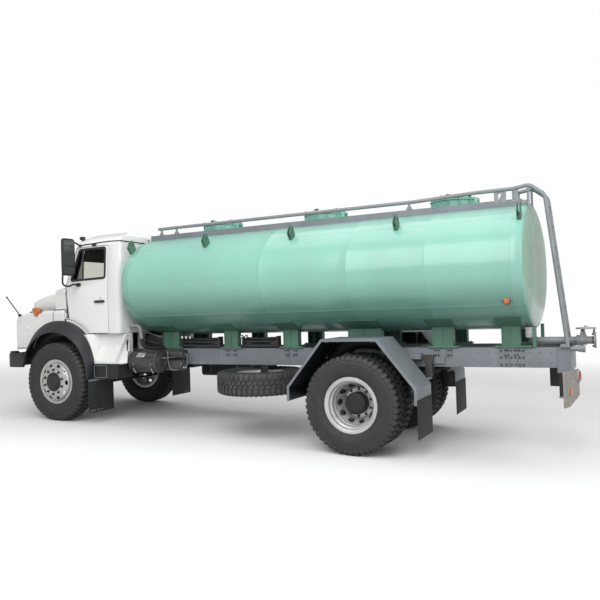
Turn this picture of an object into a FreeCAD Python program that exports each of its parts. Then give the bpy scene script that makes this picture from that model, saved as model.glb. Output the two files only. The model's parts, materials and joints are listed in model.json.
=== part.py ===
# Tank truck with a short bonnet, a mint oval tank and twin rear wheels
# Front to the left (-X), photographed side at -Y, ground at Z zero, sizes in millimetres
import os
import math
import FreeCAD, Part
from FreeCAD import Vector as V

# Running gear
WHEELBASE = 5000.0
TYRE_R = 610.0
TYRE_W = 312.0
TREAD_W = 256.0
RIM_SEAT_R = 305.0
RIM_FLANGE_R = 349.0
RIM_W = 216.0
RIM_T = 12.0
FRONT_WHEEL_Y = 1042.0
REAR_OUTER_Y = 1088.0
TWIN_SPACING = 346.0
KINGPIN_Y = 880.0
KINGPIN_R = 24.0
SPINDLE_R = 45.0
SPINDLE_END = 70.0
AXLE_STUB_R = 60.0
AXLE_STUB_END = 1044.0
RUN_FIT = 0.05
ARM_X = 190.0
TIE_PIN_R = 14.0
TIE_OPEN_GAP = 2.0

# Stance of the frame over the axles
RAKE_SLOPE = 0.0364
FRONT_END = -1180.0
REAR_END = 7700.0
BUMPER_LOW = 827.0
BUMPER_TOP = 1053.0
OUTLET_Z = 1147.0
FLANGE_R = 95.0

# Frame
RAIL_TOP = 1077.0
RAIL_H = 240.0
RAIL_HALF = 430.0
RAIL_T = 8.0
RAIL_FLANGE = 80.0
RAIL_FRONT = -950.0
RAIL_REAR = 7434.0
CROSS_H = 80.0
CROSS_W = 110.0
CROSS_X = (-880.0, 1000.0, 2300.0, WHEELBASE - 850.0, WHEELBASE + 500.0, RAIL_REAR - 934.0)
REAR_BEAM_LOW = 776.0
REAR_BEAM_FRONT = 7285.0

# Cab
CAB_HALF = 980.0
CAB_TOP_HALF = 945.0
CAB_REAR = 1180.0
CAB_FLOOR = 1355.0
CAB_WALL = 40.0
ROOF_EDGE = 2755.0
ROOF_CROWN = 2945.0
COWL_X = 60.0
COWL_FRONT = -160.0
COWL_TOP = 2052.0
SCREEN_LOW_Z = 2095.0
SCREEN_TOP_X = 315.0
SCREEN_TOP_Z = 2770.0
DOOR_FRONT = 78.0
DOOR_REAR = 942.0
DOOR_TOP = 2700.0
DOOR_GAP = 8.0
DOOR_ARCH = 32.0
DOOR_DEPTH = min(CAB_HALF, CAB_TOP_HALF) - CAB_WALL - 30.0
CAB_SPAN = CAB_HALF + 220.0
WINDOW_LOW = 2190.0
WINDOW_TOP = 2672.0
WINDOW_REAR = 890.0
GLASS_T = 6.0
DOOR_PIN_R = 9.0

# Front wings, flares and bonnet
WING_HALF = 1000.0
WING_T = 25.0
WING_FRONT = -1083.0
WING_LOW = 1110.0
WING_REAR = 36.0
ARCH_X = 20.0
ARCH_Z = 684.0
ARCH_R = 698.0
LIP_T = 24.0
FLARE_X = -22.0
FLARE_Z = 821.0
FLARE_R = 741.0
FLARE_SHELF = 1100.0
FLARE_HALF = 1238.0
FLARE_T = 26.0
FLARE_LOW = 664.0
BONNET_HALF = 745.0
BONNET_T = 18.0
BONNET_REAR_Z = 2062.0
BONNET_NOSE_X = -1040.0
BONNET_NOSE_Z = 1880.0
BONNET_LOW = 1742.0
BONNET_GAP = 8.0
BONNET_PIN_R = 10.0

# Tank
TANK_HALF = 1110.0
TANK_HALF_H = 774.0
TANK_Z = 2056.0
TANK_FRONT = 1345.0
TANK_REAR = 7010.0
TANK_DISH = 100.0
SADDLE_IN = 345.0
SADDLE_OUT = 446.0
COAMING_Y = 455.0
COAMING_T = 8.0
COAMING_TOP = 2846.0
COAMING_FRONT = 1390.0
COAMING_REAR = 6960.0
COLLAR_R = 280.0
COLLAR_WALL = 12.0
COLLAR_TOP = 2962.0
COLLAR_X = (2440.0, 4200.0, 6050.0)
LID_R = 296.0
LID_T = 18.0
LID_GAP = 6.0
LID_PIN_R = 8.0
RAIL_PIPE_R = 24.0
RAIL_PIPE_Z = 2941.0

# Rear fenders and flaps
FENDER_OUT = 1250.0
FENDER_IN = 632.0
FENDER_T = 8.0
FENDER_LIP = 34.0
FLAP_T = 8.0

RAKE_DEG = math.degrees(math.atan(RAKE_SLOPE))
RAKE = math.atan(RAKE_SLOPE)
FRONT_X = FRONT_END * math.cos(RAKE) - (BUMPER_TOP - TYRE_R) * math.sin(RAKE)
BACK_X = REAR_END * math.cos(RAKE) - (OUTLET_Z - FLANGE_R - TYRE_R) * math.sin(RAKE)
MID_X = (FRONT_X + BACK_X) / 2.0


def box(x0, x1, y0, y1, z0, z1):
    return Part.makeBox(x1 - x0, y1 - y0, z1 - z0, V(x0, y0, z0))


def both(shape):
    return [shape, shape.mirror(V(0, 0, 0), V(0, 1, 0))]


def side_box(x0, x1, y0, y1, z0, z1):
    return both(box(x0, x1, -y1, -y0, z0, z1))


def rod(a, b, r):
    a = V(*a)
    b = V(*b)
    d = b - a
    return Part.makeCylinder(r, d.Length, a, d)


def pipe(points, r):
    shape = rod(points[0], points[1], r)
    for i in range(1, len(points) - 1):
        shape = shape.fuse(Part.makeSphere(r, V(*points[i])))
        shape = shape.fuse(rod(points[i], points[i + 1], r))
    return shape.removeSplitter()


def face_of(points):
    pts = [V(*p) for p in points]
    return Part.Face(Part.makePolygon(pts + [pts[0]]))


def prism_y(points, y0, y1):
    return face_of([(x, y0, z) for x, z in points]).extrude(V(0, y1 - y0, 0))


def prism_x(points, x0, x1):
    return face_of([(x0, y, z) for y, z in points]).extrude(V(x1 - x0, 0, 0))


def prism_z(points, z0, z1):
    return face_of([(x, y, z0) for x, y in points]).extrude(V(0, 0, z1 - z0))


def join(shapes):
    shape = shapes[0]
    if len(shapes) > 1:
        shape = shape.fuse(shapes[1:])
    return shape.removeSplitter()


def turned(profile, centre):
    # profile of (distance along Y, radius) pairs, turned about the Y line through centre
    x, y, z = centre
    face = face_of([(x, y + s, z + r) for s, r in profile])
    return face.revolve(V(x, y, z), V(0, 1, 0), 360)


def arc_points(cx, cz, r, a0, a1, n):
    pts = []
    for i in range(n + 1):
        a = math.radians(a0 + (a1 - a0) * i / n)
        pts.append((cx + r * math.cos(a), cz + r * math.sin(a)))
    return pts


def raked(shape):
    out = shape.copy()
    out.rotate(V(0, 0, TYRE_R), V(0, 1, 0), -RAKE_DEG)
    return out


def to_sprung(x, z):
    # axle frame point as seen from the raked frame
    a = math.radians(RAKE_DEG)
    dz = z - TYRE_R
    return (x * math.cos(a) + dz * math.sin(a), TYRE_R - x * math.sin(a) + dz * math.cos(a))


def to_ground(x, z):
    a = math.radians(RAKE_DEG)
    dz = z - TYRE_R
    return (x * math.cos(a) - dz * math.sin(a), TYRE_R + x * math.sin(a) + dz * math.cos(a))


def save(name, shapes, rake=True):
    solids = []
    for s in shapes if isinstance(shapes, list) else [shapes]:
        s = raked(s) if rake else s.copy()
        s.translate(V(-MID_X, 0, 0))
        solids.extend(s.Solids)
    out = solids[0] if len(solids) == 1 else Part.makeCompound(solids)
    out.exportStep("parts/%s.step" % name)


os.makedirs("parts", exist_ok=True)

REAR_SX = to_sprung(WHEELBASE, TYRE_R)[0]


# Frame rails: two open channels
def frame_rails():
    low = RAIL_TOP - RAIL_H
    inner = RAIL_HALF - RAIL_T
    lip = RAIL_HALF - RAIL_FLANGE
    out = []
    for s in (-1, 1):
        c = [(s * RAIL_HALF, low), (s * RAIL_HALF, RAIL_TOP), (s * lip, RAIL_TOP), (s * lip, RAIL_TOP - RAIL_T),
             (s * inner, RAIL_TOP - RAIL_T), (s * inner, low + RAIL_T), (s * lip, low + RAIL_T), (s * lip, low)]
        out.append(prism_x(c, RAIL_FRONT, RAIL_REAR))
    return out


save("frame_rails", frame_rails())


# Crossmembers between the rails' webs, the last with its end plate between the flanges
def crossmembers():
    low = RAIL_TOP - RAIL_H
    top = RAIL_TOP - RAIL_T
    inner = RAIL_HALF - RAIL_T
    lip = RAIL_HALF - RAIL_FLANGE
    out = [box(x, x + CROSS_W, -inner, inner, top - CROSS_H, top) for x in CROSS_X]
    beam = box(REAR_BEAM_FRONT, RAIL_REAR, -RAIL_HALF, RAIL_HALF, REAR_BEAM_LOW, low)
    plate = box(RAIL_REAR - RAIL_T, RAIL_REAR, -lip, lip, low, RAIL_TOP)
    tabs = box(RAIL_REAR - RAIL_T, RAIL_REAR, -inner, inner, low + RAIL_T, top)
    out.append(join([beam, plate, tabs]))
    return out


save("crossmembers", crossmembers())


# Bumper with returns and its two brackets from the rails
BUMPER_HALF = 1180.0
BUMPER_RETURN = -745.0


def bumper():
    plan = [(FRONT_END, -900), (-1120, -BUMPER_HALF + 20), (-1090, -BUMPER_HALF), (BUMPER_RETURN, -BUMPER_HALF),
            (BUMPER_RETURN, -BUMPER_HALF + 50), (-1050, -BUMPER_HALF + 50), (-1080, -880)]
    plan = plan + [(x, -y) for x, y in reversed(plan)]
    beam = prism_z(plan, BUMPER_LOW, BUMPER_TOP)
    arms = side_box(-1085, RAIL_FRONT, RAIL_HALF - 75, RAIL_HALF, 880, 1030)
    return join([beam] + arms)


save("front_bumper", bumper())


# Front axle beam, knuckles and tie rod, level with the ground
BEAM_TOP = TYRE_R - 45.0
BEAM_LOW = BEAM_TOP - 95.0
EYE_R = 46.0
EYE_HALF = 52.0
YOKE_GAP = 0.4
YOKE_IN = 52.0
YOKE_OUT = 64.0
CHEEK = 26.0


def front_axle():
    eye_y = KINGPIN_Y
    beam = box(-42, 42, -640, 640, BEAM_LOW, BEAM_TOP)
    parts = [beam]
    for s in (-1, 1):
        rise = [(s * 600, BEAM_LOW), (s * 640, BEAM_TOP), (s * (eye_y - 60), TYRE_R + 40),
                (s * (eye_y - 20), TYRE_R + 40), (s * (eye_y - 20), TYRE_R - 40), (s * (eye_y - 66), TYRE_R - 40),
                (s * 660, BEAM_LOW)]
        parts.append(prism_x(rise, -38, 38))
        parts.append(Part.makeCylinder(EYE_R, 2 * EYE_HALF, V(0, s * eye_y, TYRE_R - EYE_HALF)))
        seat = box(-90, 90, min(s * 435, s * 515), max(s * 435, s * 515), BEAM_TOP, BEAM_TOP + 25)
        parts.append(seat)
    shape = join(parts)
    for s in (-1, 1):
        shape = shape.cut(Part.makeCylinder(KINGPIN_R + RUN_FIT, 300, V(0, s * eye_y, TYRE_R - 150)))
    return shape


save("front_axle", front_axle(), False)


def knuckle(s):
    y = s * KINGPIN_Y
    z0 = TYRE_R - EYE_HALF - YOKE_GAP
    z1 = TYRE_R + EYE_HALF + YOKE_GAP
    cheek = CHEEK
    parts = [Part.makeCylinder(EYE_R, cheek, V(0, y, z0 - cheek)), Part.makeCylinder(EYE_R, cheek, V(0, y, z1))]
    parts.append(Part.makeCylinder(KINGPIN_R, z1 - z0 + 2, V(0, y, z0 - 1)))
    ya = y + s * YOKE_IN
    yb = y + s * YOKE_OUT
    parts.append(box(-EYE_R, EYE_R, min(ya, yb), max(ya, yb), z0 - cheek, z1 + cheek))
    for za, zb in ((z0 - cheek, z0), (z1, z1 + cheek)):
        parts.append(box(-EYE_R, EYE_R, min(y, yb), max(y, yb), za, zb))
    parts.append(rod((0, yb - s * 2, TYRE_R), (0, s * (FRONT_WHEEL_Y + SPINDLE_END), TYRE_R), SPINDLE_R))
    za = z0 - cheek
    parts.append(box(0, ARM_X, y - 24, y + 24, za, za + cheek))
    parts.append(Part.makeCylinder(26, cheek, V(ARM_X, y, za)))
    parts.append(Part.makeCylinder(TIE_PIN_R, 46, V(ARM_X, y, za - 40)))
    return join(parts)


save("knuckle_left", knuckle(-1), False)
save("knuckle_right", knuckle(1), False)


def tie_rod():
    za = TYRE_R - EYE_HALF - YOKE_GAP - CHEEK
    zc = za - 20.0
    eye_r = 26.0
    parts = [rod((ARM_X, -KINGPIN_Y + 20, zc), (ARM_X, KINGPIN_Y - 20, zc), 15)]
    for s in (-1, 1):
        parts.append(Part.makeCylinder(eye_r, 34, V(ARM_X, s * KINGPIN_Y, zc - 17)))
    shape = join(parts)
    shape = shape.cut(Part.makeCylinder(TIE_PIN_R + RUN_FIT, 80, V(ARM_X, -KINGPIN_Y, zc - 40)))
    return shape.cut(Part.makeCylinder(TIE_PIN_R + TIE_OPEN_GAP, 80, V(ARM_X, KINGPIN_Y, zc - 40)))


save("tie_rod", tie_rod(), False)


# Rear axle, springs and drive line
HUB_FACE = REAR_OUTER_Y - TWIN_SPACING / 2.0


def rear_axle():
    c = (WHEELBASE, 0, TYRE_R)
    parts = [rod((WHEELBASE, -700, TYRE_R), (WHEELBASE, 700, TYRE_R), 80)]
    parts.append(rod((WHEELBASE, -AXLE_STUB_END, TYRE_R), (WHEELBASE, AXLE_STUB_END, TYRE_R), AXLE_STUB_R))
    parts.append(Part.makeSphere(215, V(*c)))
    parts.append(rod((WHEELBASE - 330, 0, TYRE_R + 10), (WHEELBASE, 0, TYRE_R + 10), 95))
    for s in (-1, 1):
        y0 = min(s * 435, s * 515)
        parts.append(box(WHEELBASE - 100, WHEELBASE + 100, y0, y0 + 80, TYRE_R, TYRE_R + 95))
    return join(parts)


save("rear_axle", rear_axle(), False)


LEAF_T = 20.0
LEAF_STEPS = 8
FRONT_EYE_Z = 760.0
REAR_EYE_Z = 960.0


def spring_pack(xc, seat_z, half, leaves, eye_z, hang):
    # stack of leaves, each shorter than the one above, bent to one parabola and sitting on the axle seat
    y0, y1 = 437.0, 505.0
    parts = []
    top = seat_z + leaves * LEAF_T
    step = half / LEAF_STEPS
    for i in range(leaves):
        n = round(LEAF_STEPS * (1.0 - 0.72 * (leaves - 1 - i) / leaves))
        z = seat_z + i * LEAF_T
        pts = [(xc + k * step, z + (eye_z - top) * (k / LEAF_STEPS) ** 2) for k in range(-n, n + 1)]
        up = [(x, zz + LEAF_T) for x, zz in reversed(pts)]
        parts.append(prism_y(pts + up, y0, y1))
    for s in (-1, 1):
        ex = xc + s * (half + 14)
        parts.append(rod((ex, y0, eye_z - 6), (ex, y1, eye_z - 6), 34))
        x0 = ex - 55
        x1 = ex + 55
        plate = [(ex - 30, eye_z - 40), (ex + 30, eye_z - 40), (x1, hang), (x0, hang)]
        parts.append(prism_y(plate, y1 - 2, y1 + 10))
        parts.append(prism_y(plate, RAIL_HALF, y0 + 2))
        parts.append(box(x0, x1, RAIL_HALF, y1 + 10, hang - 90, hang))
    return join(parts)


def leaf_springs():
    out = []
    fx = 0.0
    top_f = to_ground(0, RAIL_TOP - 60)[1]
    out += both(spring_pack(fx, BEAM_TOP + 25, 720, 5, FRONT_EYE_Z, top_f))
    top_r = to_ground(REAR_SX, RAIL_TOP - 60)[1]
    out += both(spring_pack(WHEELBASE, TYRE_R + 95, 760, 8, REAR_EYE_Z, top_r))
    return out


save("leaf_springs", leaf_springs(), False)

ENGINE_END = 40.0
GEARBOX_END = 860.0
SHAFT_Z = 930.0
BEARING_X = 2355.0
SHAFT_CLEAR = 2.1


def engine_block():
    parts = [box(-720, ENGINE_END, -300, 300, 800, 1560), box(ENGINE_END, GEARBOX_END, -190, 190, 790, 1130)]
    for x in (-500.0, -80.0):
        parts.append(box(x, x + 100, -(RAIL_HALF - RAIL_T), RAIL_HALF - RAIL_T, 890, 950))
    return join(parts)


save("engine_block", engine_block())


def propshaft():
    r = 45.0
    hang = [rod((BEARING_X, 0, SHAFT_Z), (BEARING_X + 40, 0, SHAFT_Z), 57),
            box(BEARING_X, BEARING_X + 40, -60, 60, SHAFT_Z, RAIL_TOP - RAIL_T - CROSS_H)]
    ex, ez = to_sprung(WHEELBASE - 330 - SHAFT_CLEAR, TYRE_R + 10)
    line = [rod((GEARBOX_END, 0, SHAFT_Z), (BEARING_X + 90, 0, SHAFT_Z), r)]
    line.append(Part.makeSphere(62, V(BEARING_X + 90, 0, SHAFT_Z)))
    line.append(rod((BEARING_X + 90, 0, SHAFT_Z), (ex - 60, 0, ez), r))
    line.append(Part.makeSphere(62, V(ex - 60, 0, ez)))
    line.append(rod((ex - 60, 0, ez), (ex, 0, ez), 50))
    return join(line + hang)


save("propshaft", propshaft())


# Wheels: tyres and rims
def tyre_profile():
    hw = TYRE_W / 2.0
    hr = RIM_W / 2.0
    ht = TREAD_W / 2.0
    right = [(hr, RIM_SEAT_R), (hr, RIM_FLANGE_R + 4), (hw - 8, RIM_FLANGE_R + 60), (hw, 470),
             (hw - 4, TYRE_R - 70), (ht + 8, TYRE_R - 12), (ht - 6, TYRE_R)]
    return right + [(-a, b) for a, b in reversed(right)]


def tyre(x, y, z):
    return turned(tyre_profile(), (x, y, z))


def rim_barrel(s):
    # barrel section with flanges, s gives the outer side
    hr = RIM_W / 2.0
    seat = RIM_SEAT_R
    out = [(-hr - 14, RIM_FLANGE_R), (-hr, RIM_FLANGE_R), (-hr, seat), (-hr + 40, seat), (-hr + 60, seat - 22),
           (hr - 60, seat - 22), (hr - 40, seat), (hr, seat), (hr, RIM_FLANGE_R), (hr + 14, RIM_FLANGE_R),
           (hr + 14, seat - RIM_T), (hr - 36, seat - RIM_T), (hr - 56, seat - 22 - RIM_T),
           (-hr + 56, seat - 22 - RIM_T), (-hr + 36, seat - RIM_T), (-hr - 14, seat - RIM_T)]
    return [(s * a, b) for a, b in out]


HAND_HOLES = 10
HAND_HOLE_R = 26.0
HAND_HOLE_AT = 232.0
FRONT_HOLE_R = 20.0
FRONT_HOLE_AT = 262.0


def hole_ring(shape, x, y, z, count, at, r, depth):
    tools = []
    for i in range(count):
        a = 2 * math.pi * (i + 0.5) / count
        p = V(x + at * math.cos(a), y - depth, z + at * math.sin(a))
        tools.append(Part.makeCylinder(r, 2 * depth, p, V(0, 1, 0)))
    return shape.cut(tools)


def front_rim(s):
    x, y, z = 0.0, s * FRONT_WHEEL_Y, TYRE_R
    barrel = turned(rim_barrel(s), (x, y, z))
    # disc bulges outward past the flange plane to a flat nut face
    disc = [(112, 296), (140, 284), (150, 262), (158, 235), (165, 215), (165, 140), (153, 140), (153, 213),
            (146, 230), (137, 256), (126, 274), (100, 282), (92, 296)]
    disc = turned([(s * a, b) for a, b in disc], (x, y, z))
    hub = [(-96, SPINDLE_R + RUN_FIT), (-96, 130), (140, 130), (140, 152), (165, 152), (165, 146), (190, 141),
           (198, 124), (198, 0), (90, 0), (90, SPINDLE_R + RUN_FIT)]
    hub = turned([(s * a, b) for a, b in hub], (x, y, z))
    disc = hole_ring(disc, x, y + s * 100, z, HAND_HOLES, FRONT_HOLE_AT, FRONT_HOLE_R, 90)
    return join([barrel, disc, hub])


def rear_rims(s):
    x, z = WHEELBASE, TYRE_R
    yo = s * REAR_OUTER_Y
    yi = s * (REAR_OUTER_Y - TWIN_SPACING)
    parts = [turned(rim_barrel(s), (x, yo, z)), turned(rim_barrel(s), (x, yi, z))]
    half = TWIN_SPACING / 2.0
    for c, d in ((yo, -1), (yi, 1)):
        pts = [(20, 274), (70, 262), (half - 46, 210), (half - 1, 185), (half - 1, 120), (half - 13, 120),
               (half - 13, 178), (half - 56, 200), (60, 250), (8, 262), (8, 274)]
        disc = turned([(s * d * a, b) for a, b in pts], (x, c, z))
        parts.append(hole_ring(disc, x, c + s * d * 70, z, HAND_HOLES, HAND_HOLE_AT, HAND_HOLE_R, 60))
    m = s * HUB_FACE
    bore = AXLE_STUB_R + RUN_FIT
    end = AXLE_STUB_END + 5.0 - HUB_FACE
    hub = [(-150, bore), (-150, 135), (-30, 135), (-12, 185), (12, 185), (12, 140), (end - 24, 140), (end, 132),
           (end + 16, 110), (end + 16, 0), (end, 0), (end, bore)]
    parts.append(turned([(s * a, b) for a, b in hub], (x, m, z)))
    return join(parts)


for side, s in (("left", -1), ("right", 1)):
    save("front_tyre_" + side, tyre(0, s * FRONT_WHEEL_Y, TYRE_R), False)
    save("front_rim_" + side, front_rim(s), False)
    twins = [tyre(WHEELBASE, s * REAR_OUTER_Y, TYRE_R), tyre(WHEELBASE, s * (REAR_OUTER_Y - TWIN_SPACING), TYRE_R)]
    save("rear_tyres_" + side, twins, False)
    save("rear_rims_" + side, rear_rims(s), False)

# Spare wheel lying flat on its carrier under the left rail
SPARE_X = WHEELBASE - 1565.0
SPARE_Y = -665.0
SPARE_Z = 641.0


def flat_spare(shape):
    out = shape.copy()
    out.rotate(V(0, 0, 0), V(1, 0, 0), 90)
    out.translate(V(SPARE_X, SPARE_Y, SPARE_Z))
    return out


def spare_rim():
    barrel = turned(rim_barrel(1), (0, 0, 0))
    disc = [(20, 274), (60, 262), (88, 200), (96, 165), (96, 110), (84, 110), (84, 158), (74, 190), (48, 250),
            (8, 262), (8, 274)]
    disc = hole_ring(turned(disc, (0, 0, 0)), 0, 60, 0, HAND_HOLES, HAND_HOLE_AT, HAND_HOLE_R, 90)
    return flat_spare(join([barrel, disc]))


save("spare_tyre", flat_spare(tyre(0, 0, 0)))
save("spare_rim", spare_rim())


def spare_carrier():
    low = RAIL_TOP - RAIL_H
    plate_z = SPARE_Z + 96.0
    parts = [box(SPARE_X - 70, SPARE_X + 70, SPARE_Y - 130, SPARE_Y + 130, plate_z, plate_z + 14)]
    parts.append(box(SPARE_X - 60, SPARE_X + 60, SPARE_Y + 100, SPARE_Y + 114, plate_z, low))
    parts.append(box(SPARE_X - 60, SPARE_X + 60, SPARE_Y + 100, -RAIL_HALF + 60, low - 14, low))
    return join(parts)


save("spare_carrier", spare_carrier())


# Cab shell from three outlines crossed, then hollowed and opened
def cab_side_outline(off):
    g = off
    pts = [(COWL_FRONT + g, 1745 + g), (COWL_FRONT + g, COWL_TOP - 30 - g), (COWL_FRONT + 30 + g, COWL_TOP - g),
           (COWL_X + g * 0.5, SCREEN_LOW_Z - g * 0.6), (SCREEN_TOP_X + g, SCREEN_TOP_Z),
           (SCREEN_TOP_X + 40 + g, ROOF_CROWN - 85 - g), (470, ROOF_CROWN - 32 - g), (620, ROOF_CROWN - 8 - g),
           (800, ROOF_CROWN - g), (1000, ROOF_CROWN - 14 - g), (CAB_REAR - 40 - g * 0.5, ROOF_CROWN - 46 - g),
           (CAB_REAR - g, ROOF_CROWN - 100 - g), (CAB_REAR - g, CAB_FLOOR - 10 + g), (COWL_X + g, CAB_FLOOR - 10 + g),
           (COWL_X + g, 1745 + g)]
    return pts


def cab_front_outline(off):
    w = CAB_HALF - off
    t = CAB_TOP_HALF - off
    right = [(w - 6, CAB_FLOOR - 40), (w, 2085), (t, 2700), (t - 10, ROOF_EDGE - off * 0.4),
             (t - 45, ROOF_EDGE + 50 - off * 0.7), (t - 110, ROOF_EDGE + 85 - off), (t - 300, ROOF_CROWN - 28 - off),
             (0, ROOF_CROWN + 5 - off)]
    return right + [(-y, z) for y, z in reversed(right[:-1])]


def cab_plan_outline(off):
    w = CAB_HALF + 2 - off
    r = 90.0
    rear = [(CAB_REAR - off - r + r * math.sin(math.radians(a)), w - r + r * math.cos(math.radians(a)))
            for a in (0, 22.5, 45, 67.5, 90)]
    pts = [(COWL_FRONT - 20, w)] + rear
    return pts + [(x, -y) for x, y in reversed(pts)]


def cab_form(off):
    a = prism_y(cab_side_outline(off), -CAB_SPAN, CAB_SPAN)
    b = prism_x(cab_front_outline(off), COWL_FRONT - 10, CAB_REAR + 10)
    c = prism_z(cab_plan_outline(off), CAB_FLOOR - 60, ROOF_CROWN + 60)
    return a.common(b).common(c)


def door_outline(grow):
    g = grow
    r = FLARE_R + DOOR_ARCH - g
    a0 = math.degrees(math.acos((DOOR_FRONT - g - FLARE_X) / r))
    a1 = math.degrees(math.asin((CAB_FLOOR - g - FLARE_Z) / r))
    arc = arc_points(FLARE_X, FLARE_Z, r, a0, a1, 10)
    return arc + [(DOOR_REAR + g, CAB_FLOOR - g), (DOOR_REAR + g, DOOR_TOP + g), (312 - g, DOOR_TOP + g),
                  (DOOR_FRONT - g, 2110 + g)]


def door_opening(s):
    # the cut runs inward from the outer skin through the wall
    y0 = min(s * CAB_SPAN, s * DOOR_DEPTH)
    y1 = max(s * CAB_SPAN, s * DOOR_DEPTH)
    return prism_y(door_outline(DOOR_GAP), y0, y1)


def screen_cut(half, inset):
    # slab along the windscreen plane
    dx = SCREEN_TOP_X - COWL_X
    dz = SCREEN_TOP_Z - SCREEN_LOW_Z
    n = math.hypot(dx, dz)
    ux, uz = dx / n, dz / n
    a, b = 70.0, n - 62.0
    p = [(COWL_X + ux * a, SCREEN_LOW_Z + uz * a), (COWL_X + ux * b, SCREEN_LOW_Z + uz * b)]
    nx, nz = uz, -ux
    i, o = inset
    pts = [(p[0][0] + nx * i, p[0][1] + nz * i), (p[1][0] + nx * i, p[1][1] + nz * i),
           (p[1][0] + nx * o, p[1][1] + nz * o), (p[0][0] + nx * o, p[0][1] + nz * o)]
    return prism_y(pts, -half, half)


REAR_WINDOW = (480.0, 2260.0, 2600.0)
SCREEN_HALF = 800.0
HINGE_X = 70.0
HINGE_Y = CAB_HALF + 20.0
HINGE_R = 16.0
HINGE_HALF = 28.0
HINGE_LUG = 16.0
HINGE_Z = (1650.0, 2030.0)


def door_lugs(s):
    # fixed lugs above and below each barrel with the pin between them
    y = s * HINGE_Y
    out = []
    for z in HINGE_Z:
        for z0 in (z - HINGE_HALF - 0.4 - HINGE_LUG, z + HINGE_HALF + 0.4):
            out.append(Part.makeCylinder(HINGE_R, HINGE_LUG, V(HINGE_X, y, z0)))
            y0, y1 = min(y, s * (CAB_HALF - 20)), max(y, s * (CAB_HALF - 20))
            out.append(box(HINGE_X - 14, HINGE_X, y0, y1, z0, z0 + HINGE_LUG))
        out.append(Part.makeCylinder(DOOR_PIN_R, 2 * HINGE_HALF + 12, V(HINGE_X, y, z - HINGE_HALF - 6)))
    return out


def door_barrels(s):
    y = s * HINGE_Y
    out = []
    for z in HINGE_Z:
        out.append(Part.makeCylinder(HINGE_R, 2 * HINGE_HALF, V(HINGE_X, y, z - HINGE_HALF)))
        y0, y1 = min(y, s * (CAB_HALF - 20)), max(y, s * (CAB_HALF - 20))
        out.append(box(DOOR_FRONT + 2, DOOR_FRONT + 20, y0, y1, z - HINGE_HALF, z + HINGE_HALF))
        out.append(box(HINGE_X, DOOR_FRONT + 20, min(y, s * (CAB_HALF + 4)), max(y, s * (CAB_HALF + 4)),
                       z - HINGE_HALF, z + HINGE_HALF))
    return out


BONNET_HINGE_X = COWL_FRONT - BONNET_GAP / 2
BONNET_HINGE_Z = BONNET_REAR_Z + 14.0
BONNET_EYE_R = 15.0
BONNET_EYE_Y = (380.0, 440.0)


def bonnet_lugs():
    x, z = BONNET_HINGE_X, BONNET_HINGE_Z
    y0, y1 = BONNET_EYE_Y
    out = []
    for s in (-1, 1):
        for a, b in ((y0 - 14.4, y0 - 0.4), (y1 + 0.4, y1 + 14.4)):
            out.append(rod((x, s * a, z), (x, s * b, z), BONNET_EYE_R))
            out.append(box(x, x + 50, min(s * a, s * b), max(s * a, s * b), COWL_TOP - 40, z + 6))
        out.append(rod((x, s * (y0 - 6), z), (x, s * (y1 + 6), z), BONNET_PIN_R))
    return out


def cab_shell():
    shape = cab_form(0).cut(cab_form(CAB_WALL))
    for s in (-1, 1):
        shape = shape.cut(door_opening(s))
    shape = shape.cut(screen_cut(SCREEN_HALF, (-60, 120)))
    h, z0, z1 = REAR_WINDOW
    shape = shape.cut(box(CAB_REAR - CAB_WALL - 30, CAB_REAR + 30, -h, h, z0, z1))
    feet = []
    for x in (240.0, 1040.0):
        for s in (-1, 1):
            y0 = min(s * (RAIL_HALF - 70), s * RAIL_HALF)
            feet.append(box(x, x + 90, y0, y0 + 70, RAIL_TOP, CAB_FLOOR - 5))
    return join([shape] + feet + door_lugs(-1) + door_lugs(1) + bonnet_lugs())


save("cab_shell", cab_shell())


def cab_glass():
    h, z0, z1 = REAR_WINDOW
    rear = box(CAB_REAR - CAB_WALL / 2 - GLASS_T, CAB_REAR - CAB_WALL / 2, -h, h, z0, z1)
    return [screen_cut(SCREEN_HALF, (14, 14 + GLASS_T)), rear]


save("cab_glass", cab_glass())


# Doors with their panes and mirrors
def window_outline():
    return [(186, WINDOW_LOW), (WINDOW_REAR, WINDOW_LOW + 16), (WINDOW_REAR + 4, WINDOW_TOP), (366, WINDOW_TOP - 6)]


def door(s):
    slab = cab_form(0).cut(cab_form(CAB_WALL))
    y0 = min(s * CAB_SPAN, s * (DOOR_DEPTH + 5.0))
    y1 = max(s * CAB_SPAN, s * (DOOR_DEPTH + 5.0))
    leaf = slab.common(prism_y(door_outline(0), y0, y1))
    leaf = leaf.cut(prism_y(window_outline(), y0, y1))
    leaf = join([leaf] + door_barrels(s))
    return leaf.cut([rod((HINGE_X, s * HINGE_Y, z - 60), (HINGE_X, s * HINGE_Y, z + 60), DOOR_PIN_R + RUN_FIT)
                     for z in HINGE_Z])


def door_glass(s):
    y = s * (CAB_HALF - CAB_WALL / 2 - 4)
    pts = window_outline()
    pane = prism_y(pts, min(y, y + s * GLASS_T), max(y, y + s * GLASS_T))
    lean = math.degrees(math.atan((CAB_HALF - CAB_TOP_HALF) / (2700.0 - 2085.0)))
    pane.rotate(V(0, y, 2085), V(1, 0, 0), s * lean)
    return pane.cut(door(s))


def mirror_set(s):
    yo = s * 1335.0
    yi = s * 1165.0
    y0, y1 = min(yo, yi), max(yo, yi)
    head = box(330, 405, y0, y1, 2275, 2800)
    loop = [(368, s * 1250, 2290), (368, s * 1250, 2110), (330, s * 1120, 2085), (330, s * 965, 2110)]
    arm = [(368, s * 1250, 2770), (420, s * 1130, 2760), (480, s * 955, 2690)]
    return join([head, pipe(loop, 14), pipe(arm, 13)]).cut(door(s))


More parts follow.
